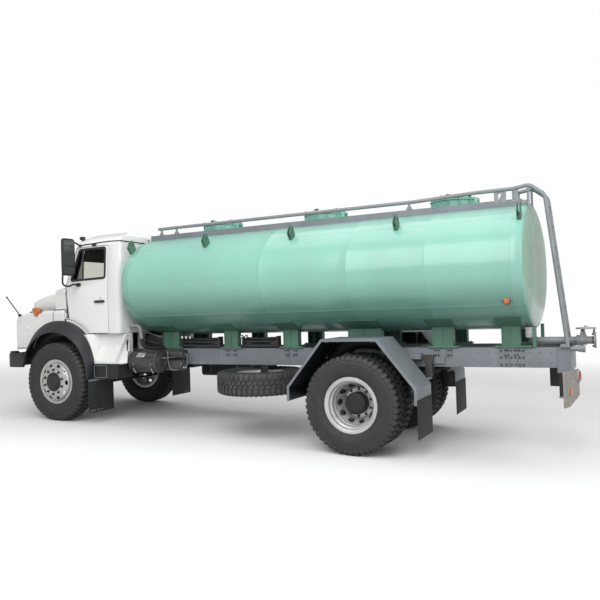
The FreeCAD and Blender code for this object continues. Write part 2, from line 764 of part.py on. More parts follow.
for side, s in (("left", -1), ("right", 1)):
    save("door_" + side, door(s))
    save("door_glass_" + side, door_glass(s))
    save("mirror_" + side, mirror_set(s))


# Dash, seats and floor trim in one carried piece
WHEEL_AT = (372.0, -495.0, 1990.0)
WHEEL_TILT = 30.0
STEER_R = 225.0
WHEEL_SEAT = 0.3


def cab_interior():
    floor = CAB_FLOOR - 10 + CAB_WALL
    w = CAB_TOP_HALF - CAB_WALL - 60
    dash = prism_y([(COWL_X + CAB_WALL + 25, 1800), (COWL_X + CAB_WALL + 25, 2040), (330, 2010), (360, 1900),
                    (300, 1800)], -w, w)
    seats = []
    for y0, y1 in ((-760, -230), (-110, 760)):
        seats.append(box(560, 1040, y0, y1, floor, floor + 420))
        seats.append(prism_y([(930, floor + 420), (1050, floor + 420), (1110, floor + 1060), (1020, floor + 1060)],
                             y0, y1))
    stand = box(COWL_X + CAB_WALL + 30, 240, -w + 40, w - 40, floor, 1800)
    tilt = math.radians(WHEEL_TILT)
    x, y, z = WHEEL_AT
    column = rod((x - 330 * math.sin(tilt), y, z - 330 * math.cos(tilt)), (x, y, z), 24)
    return join([dash, stand, column] + seats)


save("cab_interior", cab_interior())


def steering_wheel():
    x, y, z = WHEEL_AT
    ring = Part.makeTorus(STEER_R, 14, V(0, 0, 60), V(0, 0, 1))
    hub = Part.makeCylinder(34, 66 - WHEEL_SEAT, V(0, 0, WHEEL_SEAT))
    bars = []
    for a in (90, 210, 330):
        t = math.radians(a)
        bars.append(rod((0, 0, 48), (STEER_R * math.cos(t), STEER_R * math.sin(t), 60), 11))
    out = join([ring, hub] + bars)
    out.rotate(V(0, 0, 0), V(0, 1, 0), WHEEL_TILT)
    out.translate(V(x, y, z))
    return out


save("steering_wheel", steering_wheel())


# Bonnet, nose panel, wings and flares
def bonnet_outline(off):
    g = off
    rx = COWL_FRONT - BONNET_GAP
    return [(rx, BONNET_LOW - g), (rx, BONNET_REAR_Z - 12 - g), (rx - 30, BONNET_REAR_Z - g),
            (-420, BONNET_REAR_Z - 26 - g), (-700, 1988 - g), (-900, 1934 - g), (BONNET_NOSE_X + g, BONNET_NOSE_Z - g),
            (-1078 + g, 1820 - g), (-1090 + g, BONNET_LOW - g)]


def bonnet():
    outer = prism_y(bonnet_outline(0), -BONNET_HALF, BONNET_HALF)
    plan = [(COWL_FRONT - BONNET_GAP, 740), (-700, 728), (-1000, 680), (-1090, 560)]
    plan = plan + [(x, -y) for x, y in reversed(plan)]
    outer = outer.common(prism_z(plan, BONNET_LOW - 10, BONNET_REAR_Z + 10))
    inner = prism_y(bonnet_outline(BONNET_T)[:], -BONNET_HALF, BONNET_HALF)
    small = [(COWL_FRONT + 20, 740 - BONNET_T), (-700, 728 - BONNET_T), (-990, 680 - BONNET_T), (-1078, 556)]
    small = small + [(x, -y) for x, y in reversed(small)]
    inner = inner.common(prism_z(small, BONNET_LOW - 60, BONNET_REAR_Z))
    shape = outer.cut(inner)
    x, z = BONNET_HINGE_X, BONNET_HINGE_Z
    y0, y1 = BONNET_EYE_Y
    eyes = []
    for s in (-1, 1):
        eyes.append(rod((x, s * y0, z), (x, s * y1, z), BONNET_EYE_R))
        eyes.append(box(x - 52, x - 6, min(s * y0, s * y1), max(s * y0, s * y1), BONNET_REAR_Z - 16, z + 4))
    shape = join([shape] + eyes)
    return shape.cut([rod((x, s * (y0 - 20), z), (x, s * (y1 + 20), z), BONNET_PIN_R + RUN_FIT) for s in (-1, 1)])


save("bonnet", bonnet())


def nose_panel():
    x0, x1 = -1085.0, -1045.0
    panel = box(x0, x1, -700, 700, 1080, BONNET_LOW - BONNET_GAP)
    slots = []
    z = 1180.0
    while z < 1600:
        slots.append(box(x0 - 5, x1 + 5, -480, 480, z, z + 34))
        z += 68
    panel = panel.cut(slots)
    legs = side_box(x1 - 1, RAIL_FRONT + 60, RAIL_HALF - 70, RAIL_HALF, RAIL_TOP, RAIL_TOP + 60)
    return join([panel] + legs)


save("nose_panel", nose_panel())


def wing_top_outline():
    # outline of the wing seen from the side, closed along the arch
    top = [(WING_REAR, 1734), (-430, 1722), (-836, 1706), (-1000, 1669), (-1066, 1620), (WING_FRONT, 1560),
           (WING_FRONT, WING_LOW), (-760, WING_LOW)]
    arch = arc_points(FLARE_X, FLARE_Z, FLARE_R - 30, 155, 91, 10)
    return top + arch + [(WING_REAR, FLARE_Z + FLARE_R - 30)]


def wing(s):
    out = prism_y(wing_top_outline(), -WING_HALF, -700)
    t = WING_T
    inner_top = [(WING_REAR + 5, 1734 - t), (-430, 1722 - t), (-830, 1706 - t), (-990, 1669 - t), (-1045, 1612),
                 (WING_FRONT + t, 1550), (WING_FRONT + t, WING_LOW - 60), (-400, WING_LOW - 60),
                 (WING_REAR + 5, WING_LOW - 60)]
    hollow = prism_y(inner_top, -WING_HALF + t, -600)
    shell = out.cut(hollow)
    return shell if s < 0 else shell.mirror(V(0, 0, 0), V(0, 1, 0))


def front_wings():
    return [wing(-1), wing(1)]


save("front_wings", front_wings())


LINER_IN = 640.0
LINER_T = 8.0
LINER = ((-682.0, 720.0), (-672.0, 800.0), (-655.0, 900.0), (-580.0, 1090.0), (-420.0, 1250.0), (-230.0, 1322.0),
         (230.0, 1322.0), (420.0, 1250.0), (580.0, 1090.0), (655.0, 900.0), (672.0, 800.0), (682.0, 720.0))


FLARE_START = 168.0
FLARE_PARTS = 22
WEB_T = 8.0


def flare_arc(cx, cz, r):
    # arch line from the front leg over the tyre, then straight down the rear leg
    return arc_points(cx, cz, r, FLARE_START, 0.0, FLARE_PARTS) + [(cx + r, FLARE_LOW)]


def flare(s):
    # flat shelf out from the wing, then a slanted band to the lip round the arch
    shelf = flare_arc(FLARE_X, FLARE_Z, FLARE_R)
    under = flare_arc(FLARE_X, FLARE_Z, FLARE_R - FLARE_T)
    lip = flare_arc(ARCH_X, ARCH_Z, ARCH_R + LIP_T)
    lip_in = flare_arc(ARCH_X, ARCH_Z, ARCH_R)
    strip = prism_y(shelf + list(reversed(under)), -FLARE_SHELF, -WING_HALF)
    wires = []
    for a, b, c, d in zip(shelf, lip, lip_in, under):
        q = [V(a[0], -FLARE_SHELF, a[1]), V(b[0], -FLARE_HALF, b[1]), V(c[0], -FLARE_HALF, c[1]),
             V(d[0], -FLARE_SHELF, d[1])]
        wires.append(Part.makePolygon(q + [q[0]]))
    shape = join([strip, Part.makeLoft(wires, True, True)])
    return shape if s < 0 else shape.mirror(V(0, 0, 0), V(0, 1, 0))


save("arch_flares", [flare(-1), flare(1)])


def arch_liner(s):
    # sheet over the tyre and the web that closes it against the flare
    over = [(x, z + LINER_T) if abs(x) < 240 else (x + math.copysign(LINER_T, x), z + 2) for x, z in LINER]
    sheet = prism_y(list(LINER) + list(reversed(over)), -WING_HALF, -LINER_IN)
    rim = arc_points(FLARE_X, FLARE_Z, FLARE_R - 10, FLARE_START + 4, 4.0, FLARE_PARTS)
    web = prism_y(rim + list(reversed(over)), -WING_HALF, -WING_HALF + WEB_T)
    shape = join([sheet, web]).cut(wing(-1))
    shape = max(shape.Solids, key=lambda q: q.Volume)
    return shape if s < 0 else shape.mirror(V(0, 0, 0), V(0, 1, 0))


save("arch_liners", [arch_liner(-1), arch_liner(1)])


# Step bodies under the doors with the recessed tread
STEP_HALF = 1058.0
STEP_LOW = 903.0
STEP_GAP = 1.0


STEP_TOP = 1338.0
STEP_IN = 745.0
STEP_WALL = 985.0
STEP_POCKET = 1212.0
STEP_SHEET = 12.0
STEP_DEPTH = 870.0
RECESS_OUT = ((560.0, 1350.0), (640.0, 1190.0), (735.0, 922.0), (1118.0, 922.0), (1350.0, 1350.0))
RECESS_IN = ((660.0, 1350.0), (685.0, 1230.0), (705.0, 1140.0), (1078.0, 1148.0), (1215.0, 1350.0))


def step_front():
    a0 = math.degrees(math.asin((STEP_LOW - FLARE_Z) / (FLARE_R + STEP_GAP)))
    a1 = math.degrees(math.asin((STEP_TOP - FLARE_Z) / (FLARE_R + STEP_GAP)))
    return arc_points(FLARE_X, FLARE_Z, FLARE_R + STEP_GAP, a1, a0, 8)


def cab_step(s):
    # outer panel with a slanted rear edge, body behind it, and a thin wall back beside the air tank
    outer = prism_y([(1137, STEP_LOW), (1370, STEP_TOP)] + step_front(), -STEP_HALF, -STEP_WALL + 1)
    inner = prism_y([(STEP_POCKET, STEP_LOW), (STEP_POCKET, STEP_TOP)] + step_front(), -STEP_WALL, -STEP_IN)
    wall = prism_y([(STEP_POCKET - 5, STEP_LOW), (1300, STEP_LOW), (1352, STEP_TOP), (STEP_POCKET - 5, STEP_TOP)],
                   -STEP_WALL, -STEP_WALL + STEP_SHEET)
    body = join([outer, inner, wall])
    wires = []
    for y, pts in ((-STEP_HALF - 1, RECESS_OUT), (-STEP_DEPTH, RECESS_IN)):
        q = [V(x, y, z) for x, z in pts]
        wires.append(Part.makePolygon(q + [q[0]]))
    body = body.cut(Part.makeLoft(wires, True, True))
    tread = [box(724, STEP_POCKET, -STEP_HALF - 4, -780, STEP_LOW - 14, STEP_LOW),
             box(STEP_POCKET - 1, 1299, -STEP_HALF - 4, -STEP_WALL + STEP_SHEET, STEP_LOW - 14, STEP_LOW)]
    arm = [box(1000, 1080, -STEP_IN - 1, -RAIL_HALF, 960, 1040)]
    out = join([body] + tread + arm)
    return out if s < 0 else out.mirror(V(0, 0, 0), V(0, 1, 0))


save("cab_steps", [cab_step(-1), cab_step(1)])

# Tanks and cylinders carried outside the rails
CANISTER_R = 160.0
CANISTER_Y = -800.0
CANISTER_Z = 905.0
CANISTER_FRONT = 1250.0
CANISTER_REAR = 1820.0
SMALL_FRONT = 1500.0
SMALL_REAR = min(2080.0, SPARE_X - TYRE_R - 30.0)
SMALL_Y = -590.0


def turned_x(profile, y, z):
    # profile of (place along X, radius) pairs, turned about the X line through y, z
    return face_of([(x, y, z + r) for x, r in profile]).revolve(V(0, y, z), V(1, 0, 0), 360)


def side_tanks():
    a, b, r = CANISTER_FRONT, CANISTER_REAR, CANISTER_R
    dish = ((0.0, 0.0), (4.0, 0.4), (16.0, 0.72), (38.0, 0.93), (60.0, 1.0))
    profile = [(a + d, r * k) for d, k in dish] + [(b - d * 0.5, r * k) for d, k in reversed(dish)]
    parts = [turned_x(profile, CANISTER_Y, CANISTER_Z)]
    parts.append(rod((SMALL_FRONT, SMALL_Y, 1000), (SMALL_REAR, SMALL_Y, 1000), 66))
    parts.append(rod((SMALL_FRONT, SMALL_Y, 838), (SMALL_REAR, SMALL_Y, 838), 84))
    for x in (SMALL_FRONT + 20.0, SMALL_FRONT + 240.0):
        parts.append(box(x, x + 50, CANISTER_Y + 60, -RAIL_HALF, 885, 925))
        parts.append(box(x, x + 50, SMALL_Y - 50, SMALL_Y + 30, 838, 1000))
    return join(parts)


save("side_tanks", side_tanks())


FUEL_BOX = (1600.0, 2750.0, 500.0, 1040.0, 560.0, 1000.0)


def fuel_tank():
    x0, x1, y0, y1, z0, z1 = FUEL_BOX
    body = box(x0, x1, y0, y1, z0, z1)
    edges = [e for e in body.Edges if abs(e.Vertexes[0].X - e.Vertexes[-1].X) > 100]
    body = body.makeFillet(70, edges)
    cap = Part.makeCylinder(55, 50, V(x0 + 250, y1 - 150, z1 - 2))
    arms = [box(x, x + 70, RAIL_HALF, y0 + 100, 860, 940) for x in (x0 + 150.0, x1 - 270.0)]
    return join([body, cap] + arms)


save("fuel_tank", fuel_tank())


# Tank shell with dished ends and lifting lugs
def tank_form(off):
    r = 1000.0
    f = TANK_DISH
    pts = [V(TANK_FRONT - f - off, 0, 0)]
    for x, k in ((TANK_FRONT - 0.94 * f, 0.45), (TANK_FRONT - 0.70 * f, 0.80), (TANK_FRONT - 0.45 * f, 0.95),
                 (TANK_FRONT, 1.0)):
        pts.append(V(x - off, 0, k * r))
    front = Part.BSplineCurve()
    front.interpolate(pts)
    back = []
    for x, k in ((TANK_REAR, 1.0), (TANK_REAR + 0.45 * f, 0.95), (TANK_REAR + 0.70 * f, 0.80),
                 (TANK_REAR + 0.94 * f, 0.45), (TANK_REAR + f, 0.0)):
        back.append(V(x + off, 0, k * r))
    rear = Part.BSplineCurve()
    rear.interpolate(back)
    line = Part.LineSegment(pts[-1], back[0])
    axis = Part.LineSegment(back[-1], pts[0])
    wire = Part.Wire([front.toShape(), line.toShape(), rear.toShape(), axis.toShape()])
    solid = Part.Face(wire).revolve(V(0, 0, 0), V(1, 0, 0), 360)
    m = FreeCAD.Matrix()
    m.A22 = (TANK_HALF + off) / r
    m.A33 = (TANK_HALF_H + off) / r
    m.A34 = TANK_Z
    out = solid.transformGeometry(m)
    return Part.makeSolid(out.Shells[0]) if not out.Solids else out.Solids[0]


TANK = tank_form(0)
LUGS_X = (1430.0, 2200.0, 3800.0, 5350.0, 6900.0)


def tank_shell():
    lugs = []
    for x in LUGS_X:
        for s in (-1, 1):
            p = [(s * 470, 2700), (s * 530, 2795), (s * 600, 2752), (s * 620, 2620)]
            lugs.append(prism_x(p, x - 22, x + 22))
    return join([TANK] + lugs)


save("tank_shell", tank_shell())

SADDLES = ((1561.0, 1871.0), (2696.0, 2932.0), (3690.0, 3928.0), (4680.0, 5150.0), (5828.0, 6094.0), (6672.0, 6891.0))


def tank_saddles():
    out = []
    for x0, x1 in SADDLES:
        post = [box(x0, x1, -SADDLE_OUT, -SADDLE_IN, RAIL_TOP, TANK_Z)]
        foot = box(x0 - 60, x1 + 60, -SADDLE_OUT - 14, -SADDLE_IN + 10, RAIL_TOP, RAIL_TOP + 22)
        post[0] = post[0].cut(TANK)
        pieces = sorted(post[0].Solids, key=lambda q: q.BoundBox.ZMin)
        whole = join([pieces[0], foot])
        out += both(whole)
    return out


save("tank_saddles", tank_saddles())


# Coaming, deck strips and manhole collars on top
def walkway():
    y1 = COAMING_Y
    y0 = COAMING_Y - COAMING_T
    parts = []
    for s in (-1, 1):
        a, b = min(s * y0, s * y1), max(s * y0, s * y1)
        parts.append(box(COAMING_FRONT, COAMING_REAR, a, b, 2740, COAMING_TOP))
        c, d = min(s * 340, s * y1), max(s * 340, s * y1)
        parts.append(box(COAMING_FRONT, COAMING_REAR, c, d, COAMING_TOP - 20, COAMING_TOP - 12))
    for x in (COAMING_FRONT, COAMING_REAR - COAMING_T):
        parts.append(box(x, x + COAMING_T, -y1, y1, 2740, COAMING_TOP))
    return join(parts).cut(TANK)


save("walkway", walkway())


def manhole_collars():
    out = []
    for x in COLLAR_X:
        ring = Part.makeCylinder(COLLAR_R, COLLAR_TOP - 2700, V(x, 0, 2700))
        ring = ring.cut(Part.makeCylinder(COLLAR_R - COLLAR_WALL, COLLAR_TOP - 2700, V(x, 0, 2850)))
        ring = ring.cut(TANK)
        ears = []
        for y0, y1 in ((-70, -45), (45, 70)):
            ears.append(box(x + COLLAR_R - 14, x + COLLAR_R + 46, y0, y1, COLLAR_TOP - 60, COLLAR_TOP + 20))
        pin_z = COLLAR_TOP + 4
        pin = rod((x + COLLAR_R + 30, -72, pin_z), (x + COLLAR_R + 30, 72, pin_z), LID_PIN_R)
        out.append(join([ring, pin] + ears))
    return out


save("manhole_collars", manhole_collars())


def lid(x):
    z0 = COLLAR_TOP + LID_GAP
    disc = Part.makeCylinder(LID_R - 6, LID_T, V(x, 0, z0))
    dome = Part.makeCylinder(LID_R - 90, 12, V(x, 0, z0 + LID_T))
    px, pz = x + COLLAR_R + 30, COLLAR_TOP + 4
    disc = disc.cut(box(x + COLLAR_R - 22, x + COLLAR_R + 60, -78, 78, z0 - 5, z0 + LID_T + 5))
    tongue = box(x + COLLAR_R - 60, px, -38, 38, z0 + 2, z0 + LID_T)
    knuckle_eye = rod((px, -38, pz), (px, 38, pz), 18)
    grip = pipe([(x - 150, -60, z0 + LID_T), (x - 150, -60, z0 + 70), (x - 150, 60, z0 + 70),
                 (x - 150, 60, z0 + LID_T)], 8)
    shape = join([disc, dome, tongue, knuckle_eye, grip])
    return shape.cut(rod((px, -60, pz), (px, 60, pz), LID_PIN_R + RUN_FIT))


for name, x in zip(("lid_front", "lid_middle", "lid_rear"), COLLAR_X):
    save(name, lid(x))


# Handrail along the near side, running down as the ladder at the rear
HANDRAIL_FRONT = 1545.0
HANDRAIL_RISE = 30.0
HANDRAIL_RISE_X = (5650.0, 6450.0)
HANDRAIL_END_X = COAMING_REAR - 90.0
PEAK_X = TANK_REAR + 44.0
PEAK_UP = 59.0
LADDER_TOP_X = PEAK_X + 170.0
LADDER_TOP_DOWN = 74.0
LADDER_FOOT_X = RAIL_REAR - 24.0
LADDER_WIDTH = 340.0
LADDER_STEPS = 7
POST_X = (1600.0, 1890.0, 5590.0, 6740.0)
POST_R = 16.0


def handrail():
    y = -COAMING_Y + COAMING_T / 2
    z = RAIL_PIPE_Z
    top = z + HANDRAIL_RISE
    foot = (LADDER_FOOT_X, RAIL_TOP + 14)
    corner = (LADDER_TOP_X, z - LADDER_TOP_DOWN)
    near = [(HANDRAIL_FRONT, y, z), (HANDRAIL_RISE_X[0], y, z), (HANDRAIL_RISE_X[1], y, top),
            (HANDRAIL_END_X, y, top), (PEAK_X, y, z + PEAK_UP), (corner[0], y, corner[1]), (foot[0], y, foot[1])]
    yf = y + LADDER_WIDTH
    far = [(HANDRAIL_END_X, yf, top), (PEAK_X, yf, z + PEAK_UP), (corner[0], yf, corner[1]), (foot[0], yf, foot[1])]
    parts = [pipe(near, RAIL_PIPE_R), pipe(far, RAIL_PIPE_R)]
    for x in POST_X:
        up = z if x < HANDRAIL_RISE_X[1] else top
        parts.append(rod((x, y, COAMING_TOP), (x, y, up), POST_R))
    x = HANDRAIL_END_X + 15.0
    for yy in (y, yf):
        parts.append(rod((x, yy, COAMING_TOP), (x, yy, top), POST_R))
    parts.append(box(x - 15, x + 15, y, yf + 12, COAMING_TOP, COAMING_TOP + 10))
    parts.append(rod((PEAK_X, y, z + PEAK_UP), (PEAK_X, yf, z + PEAK_UP), 14))
    parts.append(rod((x, y, top), (x, yf, top), 14))
    for i in range(LADDER_STEPS):
        u = 0.06 + 0.80 * i / (LADDER_STEPS - 1)
        rx = corner[0] + (foot[0] - corner[0]) * u
        rz = corner[1] + (foot[1] - corner[1]) * u
        parts.append(rod((rx, y, rz), (rx, yf, rz), 13))
    for y0, y1 in ((y - 30, y + 70), (yf - 30, yf + 30)):
        parts.append(box(foot[0] - 40, foot[0] + 20, y0, y1, RAIL_TOP, RAIL_TOP + 14))
    lean = rod((PEAK_X - 14.0, y, TANK_Z + 500.0), (PEAK_X - 14.0, y, z + PEAK_UP), POST_R).cut(TANK)
    parts.append(max(lean.Solids, key=lambda q: q.BoundBox.ZMax))
    return join(parts)


save("handrail_ladder", handrail())

# Outlet pipe with gate valve, flange and handwheel
OUTLET_Y = -230.0
OUTLET_R = 44.0
FLANGE_BOLTS = 8
FLANGE_BOLT_R = 9.0
FLANGE_BOLT_AT = 75.0


def outlet_pipe():
    y, z = OUTLET_Y, OUTLET_Z
    top = TANK_Z - TANK_HALF_H + 8
    drop = [rod((6975, y, z), (6975, y, top + 60), OUTLET_R).cut(TANK)]
    run = rod((6975, y, z), (REAR_END - 18, y, z), OUTLET_R)
    elbow = Part.makeSphere(OUTLET_R, V(6975, y, z))
    body = Part.makeSphere(72, V(7590, y, z))
    neck = rod((7590, y, z), (7590, y, z + 128), 30)
    flange = rod((REAR_END - 18, y, z), (REAR_END, y, z), FLANGE_R)
    stay = box(7390, 7430, y - 50, y + 30, RAIL_TOP, z)
    shape = join([drop[0], run, elbow, body, neck, flange, stay])
    shape = shape.cut(rod((7655, y, z), (REAR_END + 5, y, z), OUTLET_R - 8))
    tools = []
    for i in range(FLANGE_BOLTS):
        a = 2 * math.pi * (i + 0.5) / FLANGE_BOLTS
        yy = y + FLANGE_BOLT_AT * math.cos(a)
        zz = z + FLANGE_BOLT_AT * math.sin(a)
        tools.append(rod((REAR_END - 40, yy, zz), (REAR_END + 5, yy, zz), FLANGE_BOLT_R))
    return shape.cut(tools)


save("outlet_pipe", outlet_pipe())


def handwheel():
    z = OUTLET_Z + 128
    ring = Part.makeTorus(100, 10, V(7590, OUTLET_Y, z + 16), V(0, 0, 1))
    hub = Part.makeCylinder(18, 30, V(7590, OUTLET_Y, z))
    bars = []
    for a in (0, 120, 240):
        t = math.radians(a)
        bars.append(rod((7590, OUTLET_Y, z + 16), (7590 + 100 * math.cos(t), OUTLET_Y + 100 * math.sin(t), z + 16), 7))
    return join([ring, hub] + bars)


save("outlet_handwheel", handwheel())

# Rear fenders, flaps and lamp boards
FENDER_LINE = tuple((WHEELBASE + x, z) for x, z in ((-850.0, 458.0), (-850.0, 645.0), (-357.0, 1238.0),
                                                    (373.0, 1238.0), (842.0, 655.0), (842.0, 458.0)))


def offset_line(pts, d):
    # same line moved inward by d, mitred at the corners
    out = []
    n = len(pts)
    for i in range(n):
        segs = []
        if i > 0:
            segs.append((pts[i - 1], pts[i]))
        if i < n - 1:
            segs.append((pts[i], pts[i + 1]))
        norm = []
        for (x0, z0), (x1, z1) in segs:
            ln = math.hypot(x1 - x0, z1 - z0)
            norm.append(((z1 - z0) / ln, -(x1 - x0) / ln))
        nx = sum(a for a, _ in norm) / len(norm)
        nz = sum(b for _, b in norm) / len(norm)
        k = nx * nx + nz * nz
        out.append((pts[i][0] + d * nx / k, pts[i][1] + d * nz / k))
    return out


def rear_fender():
    line = list(FENDER_LINE)
    sheet = prism_y(line + list(reversed(offset_line(line, FENDER_T))), -FENDER_OUT, -FENDER_IN)
    lip = prism_y(line + list(reversed(offset_line(line, FENDER_LIP))), -FENDER_OUT, -FENDER_OUT + 5)
    under = FENDER_LINE[2][1] - FENDER_T
    parts = [sheet, lip]
    for x in (WHEELBASE - 300.0, WHEELBASE + 290.0):
        parts.append(box(x, x + 40, -580, -RAIL_HALF, 1010, 1050))
        parts.append(box(x, x + 40, -580, -540, 1010, under))
        parts.append(box(x, x + 40, -1235, -540, under - 34, under))
    return both(join(parts))


save("rear_fenders", rear_fender())


FLAP_X = 780.0
FLAP_FRONT_Y = (736.0, 1262.0)
BOX_X = (768.0, 1219.0)
BOX_Y = (760.0, 1100.0)


def mudflaps():
    rear = box(FENDER_LINE[4][0], FENDER_LINE[4][0] + FLAP_T, -FENDER_OUT, -FENDER_IN - 8, 62, 520)
    carrier = box(BOX_X[0], BOX_X[1], -BOX_Y[1], -BOX_Y[0], FLARE_LOW, STEP_LOW - 14)
    front = box(FLAP_X, FLAP_X + FLAP_T, -FLAP_FRONT_Y[1], -FLAP_FRONT_Y[0], 160, FLARE_LOW + 6)
    return both(rear) + both(join([front, carrier]))


save("mudflaps", mudflaps())


BOARD_T = 12.0
BOARD_TURN = 6.1
BOARD_Y = -290.0
BOARD_X = 7495.0
FAR_BOARD_X = 7310.0
BOARD_INNER = 0.0
FAR_BOARD_INNER = -155.0
RED_LAMP_IN = 78.0
AMBER_LAMP_Y = -540.0


def on_board(shape, x, side):
    # the near board stands at the end of its rail, the far one a little further in
    out = shape.copy()
    out.rotate(V(0, 0, 0), V(0, 0, 1), -BOARD_TURN)
    out.translate(V(x, BOARD_Y, 0))
    return out if side < 0 else out.mirror(V(0, 0, 0), V(0, 1, 0))


def board_line(inner):
    return [(-880.0, 862.0), (-880.0, 482.0), (-590.0, 458.0), (inner, 515.0), (inner, 820.0)]


def lamp_boards():
    near = on_board(prism_x(board_line(BOARD_INNER), 0, BOARD_T), BOARD_X, -1)
    arm = box(BOARD_X - 195, BOARD_X - 9, -RAIL_HALF, -RAIL_HALF + 12, 520, REAR_BEAM_LOW)
    hanger = box(BOARD_X - 110, BOARD_X - 98, -RAIL_HALF, -RAIL_HALF + 90, 520, REAR_BEAM_LOW)
    far = on_board(prism_x(board_line(FAR_BOARD_INNER), 0, BOARD_T), FAR_BOARD_X, 1)
    far_arm = box(FAR_BOARD_X - 195, FAR_BOARD_X - 9, RAIL_HALF, RAIL_HALF + 22, 520, 900)
    return [join([near, arm, hanger]), join([far, far_arm])]


save("lamp_boards", lamp_boards())


def tail_lamps():
    out = []
    for side, x, inner in ((-1, BOARD_X, BOARD_INNER), (1, FAR_BOARD_X, FAR_BOARD_INNER)):
        y = inner - RED_LAMP_IN
        out.append(on_board(rod((BOARD_T, y, 738), (BOARD_T + 36, y, 738), 66), x, side))
        y = AMBER_LAMP_Y
        out.append(on_board(rod((BOARD_T, y, 610), (BOARD_T + 14, y, 610), 42), x, side))
    return out


save("tail_lamps", tail_lamps())


def front_lamps():
    out = []
    out += side_box(WING_FRONT - 24, WING_FRONT, 760, 930, 1220, 1400)
    y = -WING_HALF
    lens = prism_z([(-655, y), (-655, y - 12), (-600, y - 38), (-520, y - 38), (-478, y - 12), (-478, y)], 1652, 1782)
    base = box(-640, -490, y - 1, y + 60, 1723, 1775)
    out += both(lens.fuse(base).removeSplitter())
    return out


save("front_lamps", front_lamps())


def tank_lamps():
    z = 1640.0
    y = TANK_HALF * math.sqrt(1 - ((z - TANK_Z) / TANK_HALF_H) ** 2)
    out = []
    x = TANK_REAR - 185.0
    out += both(rod((x, -y + 30, z + 10), (x, -y - 26, z - 12), 42).cut(TANK))
    return out


save("marker_lamps", tank_lamps())
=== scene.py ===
"""Finish of a two-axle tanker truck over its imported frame, laid out as a Blender add-on."""

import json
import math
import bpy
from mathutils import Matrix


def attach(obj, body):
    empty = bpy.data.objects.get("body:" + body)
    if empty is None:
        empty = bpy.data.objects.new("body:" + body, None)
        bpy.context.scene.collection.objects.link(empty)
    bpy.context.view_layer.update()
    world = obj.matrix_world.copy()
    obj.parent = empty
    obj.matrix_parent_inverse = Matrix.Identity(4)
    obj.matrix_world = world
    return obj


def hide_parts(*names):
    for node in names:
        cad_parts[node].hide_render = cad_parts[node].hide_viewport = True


bl_info = {
    "name": "Tanker truck",
    "version": (1, 0, 0),
    "blender": (4, 5, 0),
    "location": "3D View > Sidebar > Tanker",
    "description": "Builds the visual surfaces of a tanker truck over its packed frame",
    "category": "Object",
}

import bmesh
import bpy
import numpy as np
from bpy.props import FloatProperty, FloatVectorProperty, IntProperty, PointerProperty

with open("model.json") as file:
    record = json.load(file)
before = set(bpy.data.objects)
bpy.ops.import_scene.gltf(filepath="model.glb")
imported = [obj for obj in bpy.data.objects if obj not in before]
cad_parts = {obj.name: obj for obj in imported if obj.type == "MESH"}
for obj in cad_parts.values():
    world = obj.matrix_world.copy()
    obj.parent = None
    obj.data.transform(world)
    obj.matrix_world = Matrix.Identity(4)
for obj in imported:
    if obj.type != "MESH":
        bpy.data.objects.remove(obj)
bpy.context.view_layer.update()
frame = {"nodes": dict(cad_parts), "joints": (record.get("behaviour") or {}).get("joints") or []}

JOINTS = {joint["name"]: joint for joint in frame["joints"]}
AXLE_X, FRONT_HUB_Y, WHEEL_Z = JOINTS["roll_front_left"]["pos_m"]
REAR_X = JOINTS["roll_rear_left"]["pos_m"][0]
UP = JOINTS["door_left_open"]["axis"]
RAKE_SIN, RAKE_COS = -UP[0], UP[2]
MM = 0.001
WHEELBASE = (REAR_X - AXLE_X) / MM
HUB_Z = WHEEL_Z / MM
FRONT_Y = -FRONT_HUB_Y / MM
TYRE_R = 610.0
TWIN_OUT = 1088.0
TWIN_IN = 742.0
TANK_Z = 2056.0
TANK_FRONT = 1345.0
TANK_REAR = 7010.0
# Heights in metres over which the tank's lower half is darkened: a painted shade for the dark ground it would
# reflect.
LOWER_HALF_PAINTED_SHADE = (2.12, 1.35)
RAIL_TOP = 1077.0
RAIL_HALF = 430.0
COAMING_Y = 455.0
COAMING_TOP = 2846.0
PIPE_Z = 2941.0
DIVIDER_X = 434.0
COLLAR_X = (2440.0, 4200.0, 6050.0)
LUG_X = (1325.0, 2690.0, 4080.0, 5540.0, 6988.0)
SPARE_AT = (3435.0, -665.0, 641.0)
SADDLES = ((1561, 1871), (2696, 2932), (3690, 3928), (4680, 5150), (5828, 6094), (6672, 6891))


# Places and shells

def place(points, raked=True):
    """Millimetres from the front axle become metres in the frame; the raked ones turn about the front hub."""
    p = np.asarray(points, float) * MM
    out = p.copy()
    if raked:
        up = p[..., 2] - WHEEL_Z
        out[..., 0] = AXLE_X + p[..., 0] * RAKE_COS - up * RAKE_SIN
        out[..., 2] = WHEEL_Z + p[..., 0] * RAKE_SIN + up * RAKE_COS
    else:
        out[..., 0] = AXLE_X + p[..., 0]
    return out


def quads(nu, nv, wrap_u=False, wrap_v=False):
    """Corner numbers of the cells of an nu by nv grid of points, row by row."""
    i = np.arange(nu if wrap_u else nu - 1)[:, None]
    j = np.arange(nv if wrap_v else nv - 1)[None, :]
    i2, j2 = (i + 1) % nu, (j + 1) % nv
    cells = [i * nv + j, i * nv + j2, i2 * nv + j2, i2 * nv + j]
    return np.stack([np.broadcast_to(c, cells[0].shape) for c in cells], -1).reshape(-1, 4)


def sheet(points, wrap_u=False, wrap_v=False):
    """A grid of points (u, v, 3) with a face in each cell."""
    nu, nv = points.shape[:2]
    return points.reshape(-1, 3), [quads(nu, nv, wrap_u, wrap_v)]


def along(axis, s, a, b):
    """Stacks s along the named axis and a, b on the other two, in the order X, Y, Z."""
    order = {"X": (s, a, b), "Y": (a, s, b), "Z": (a, b, s)}[axis]
    return np.stack(np.broadcast_arrays(*order), -1)


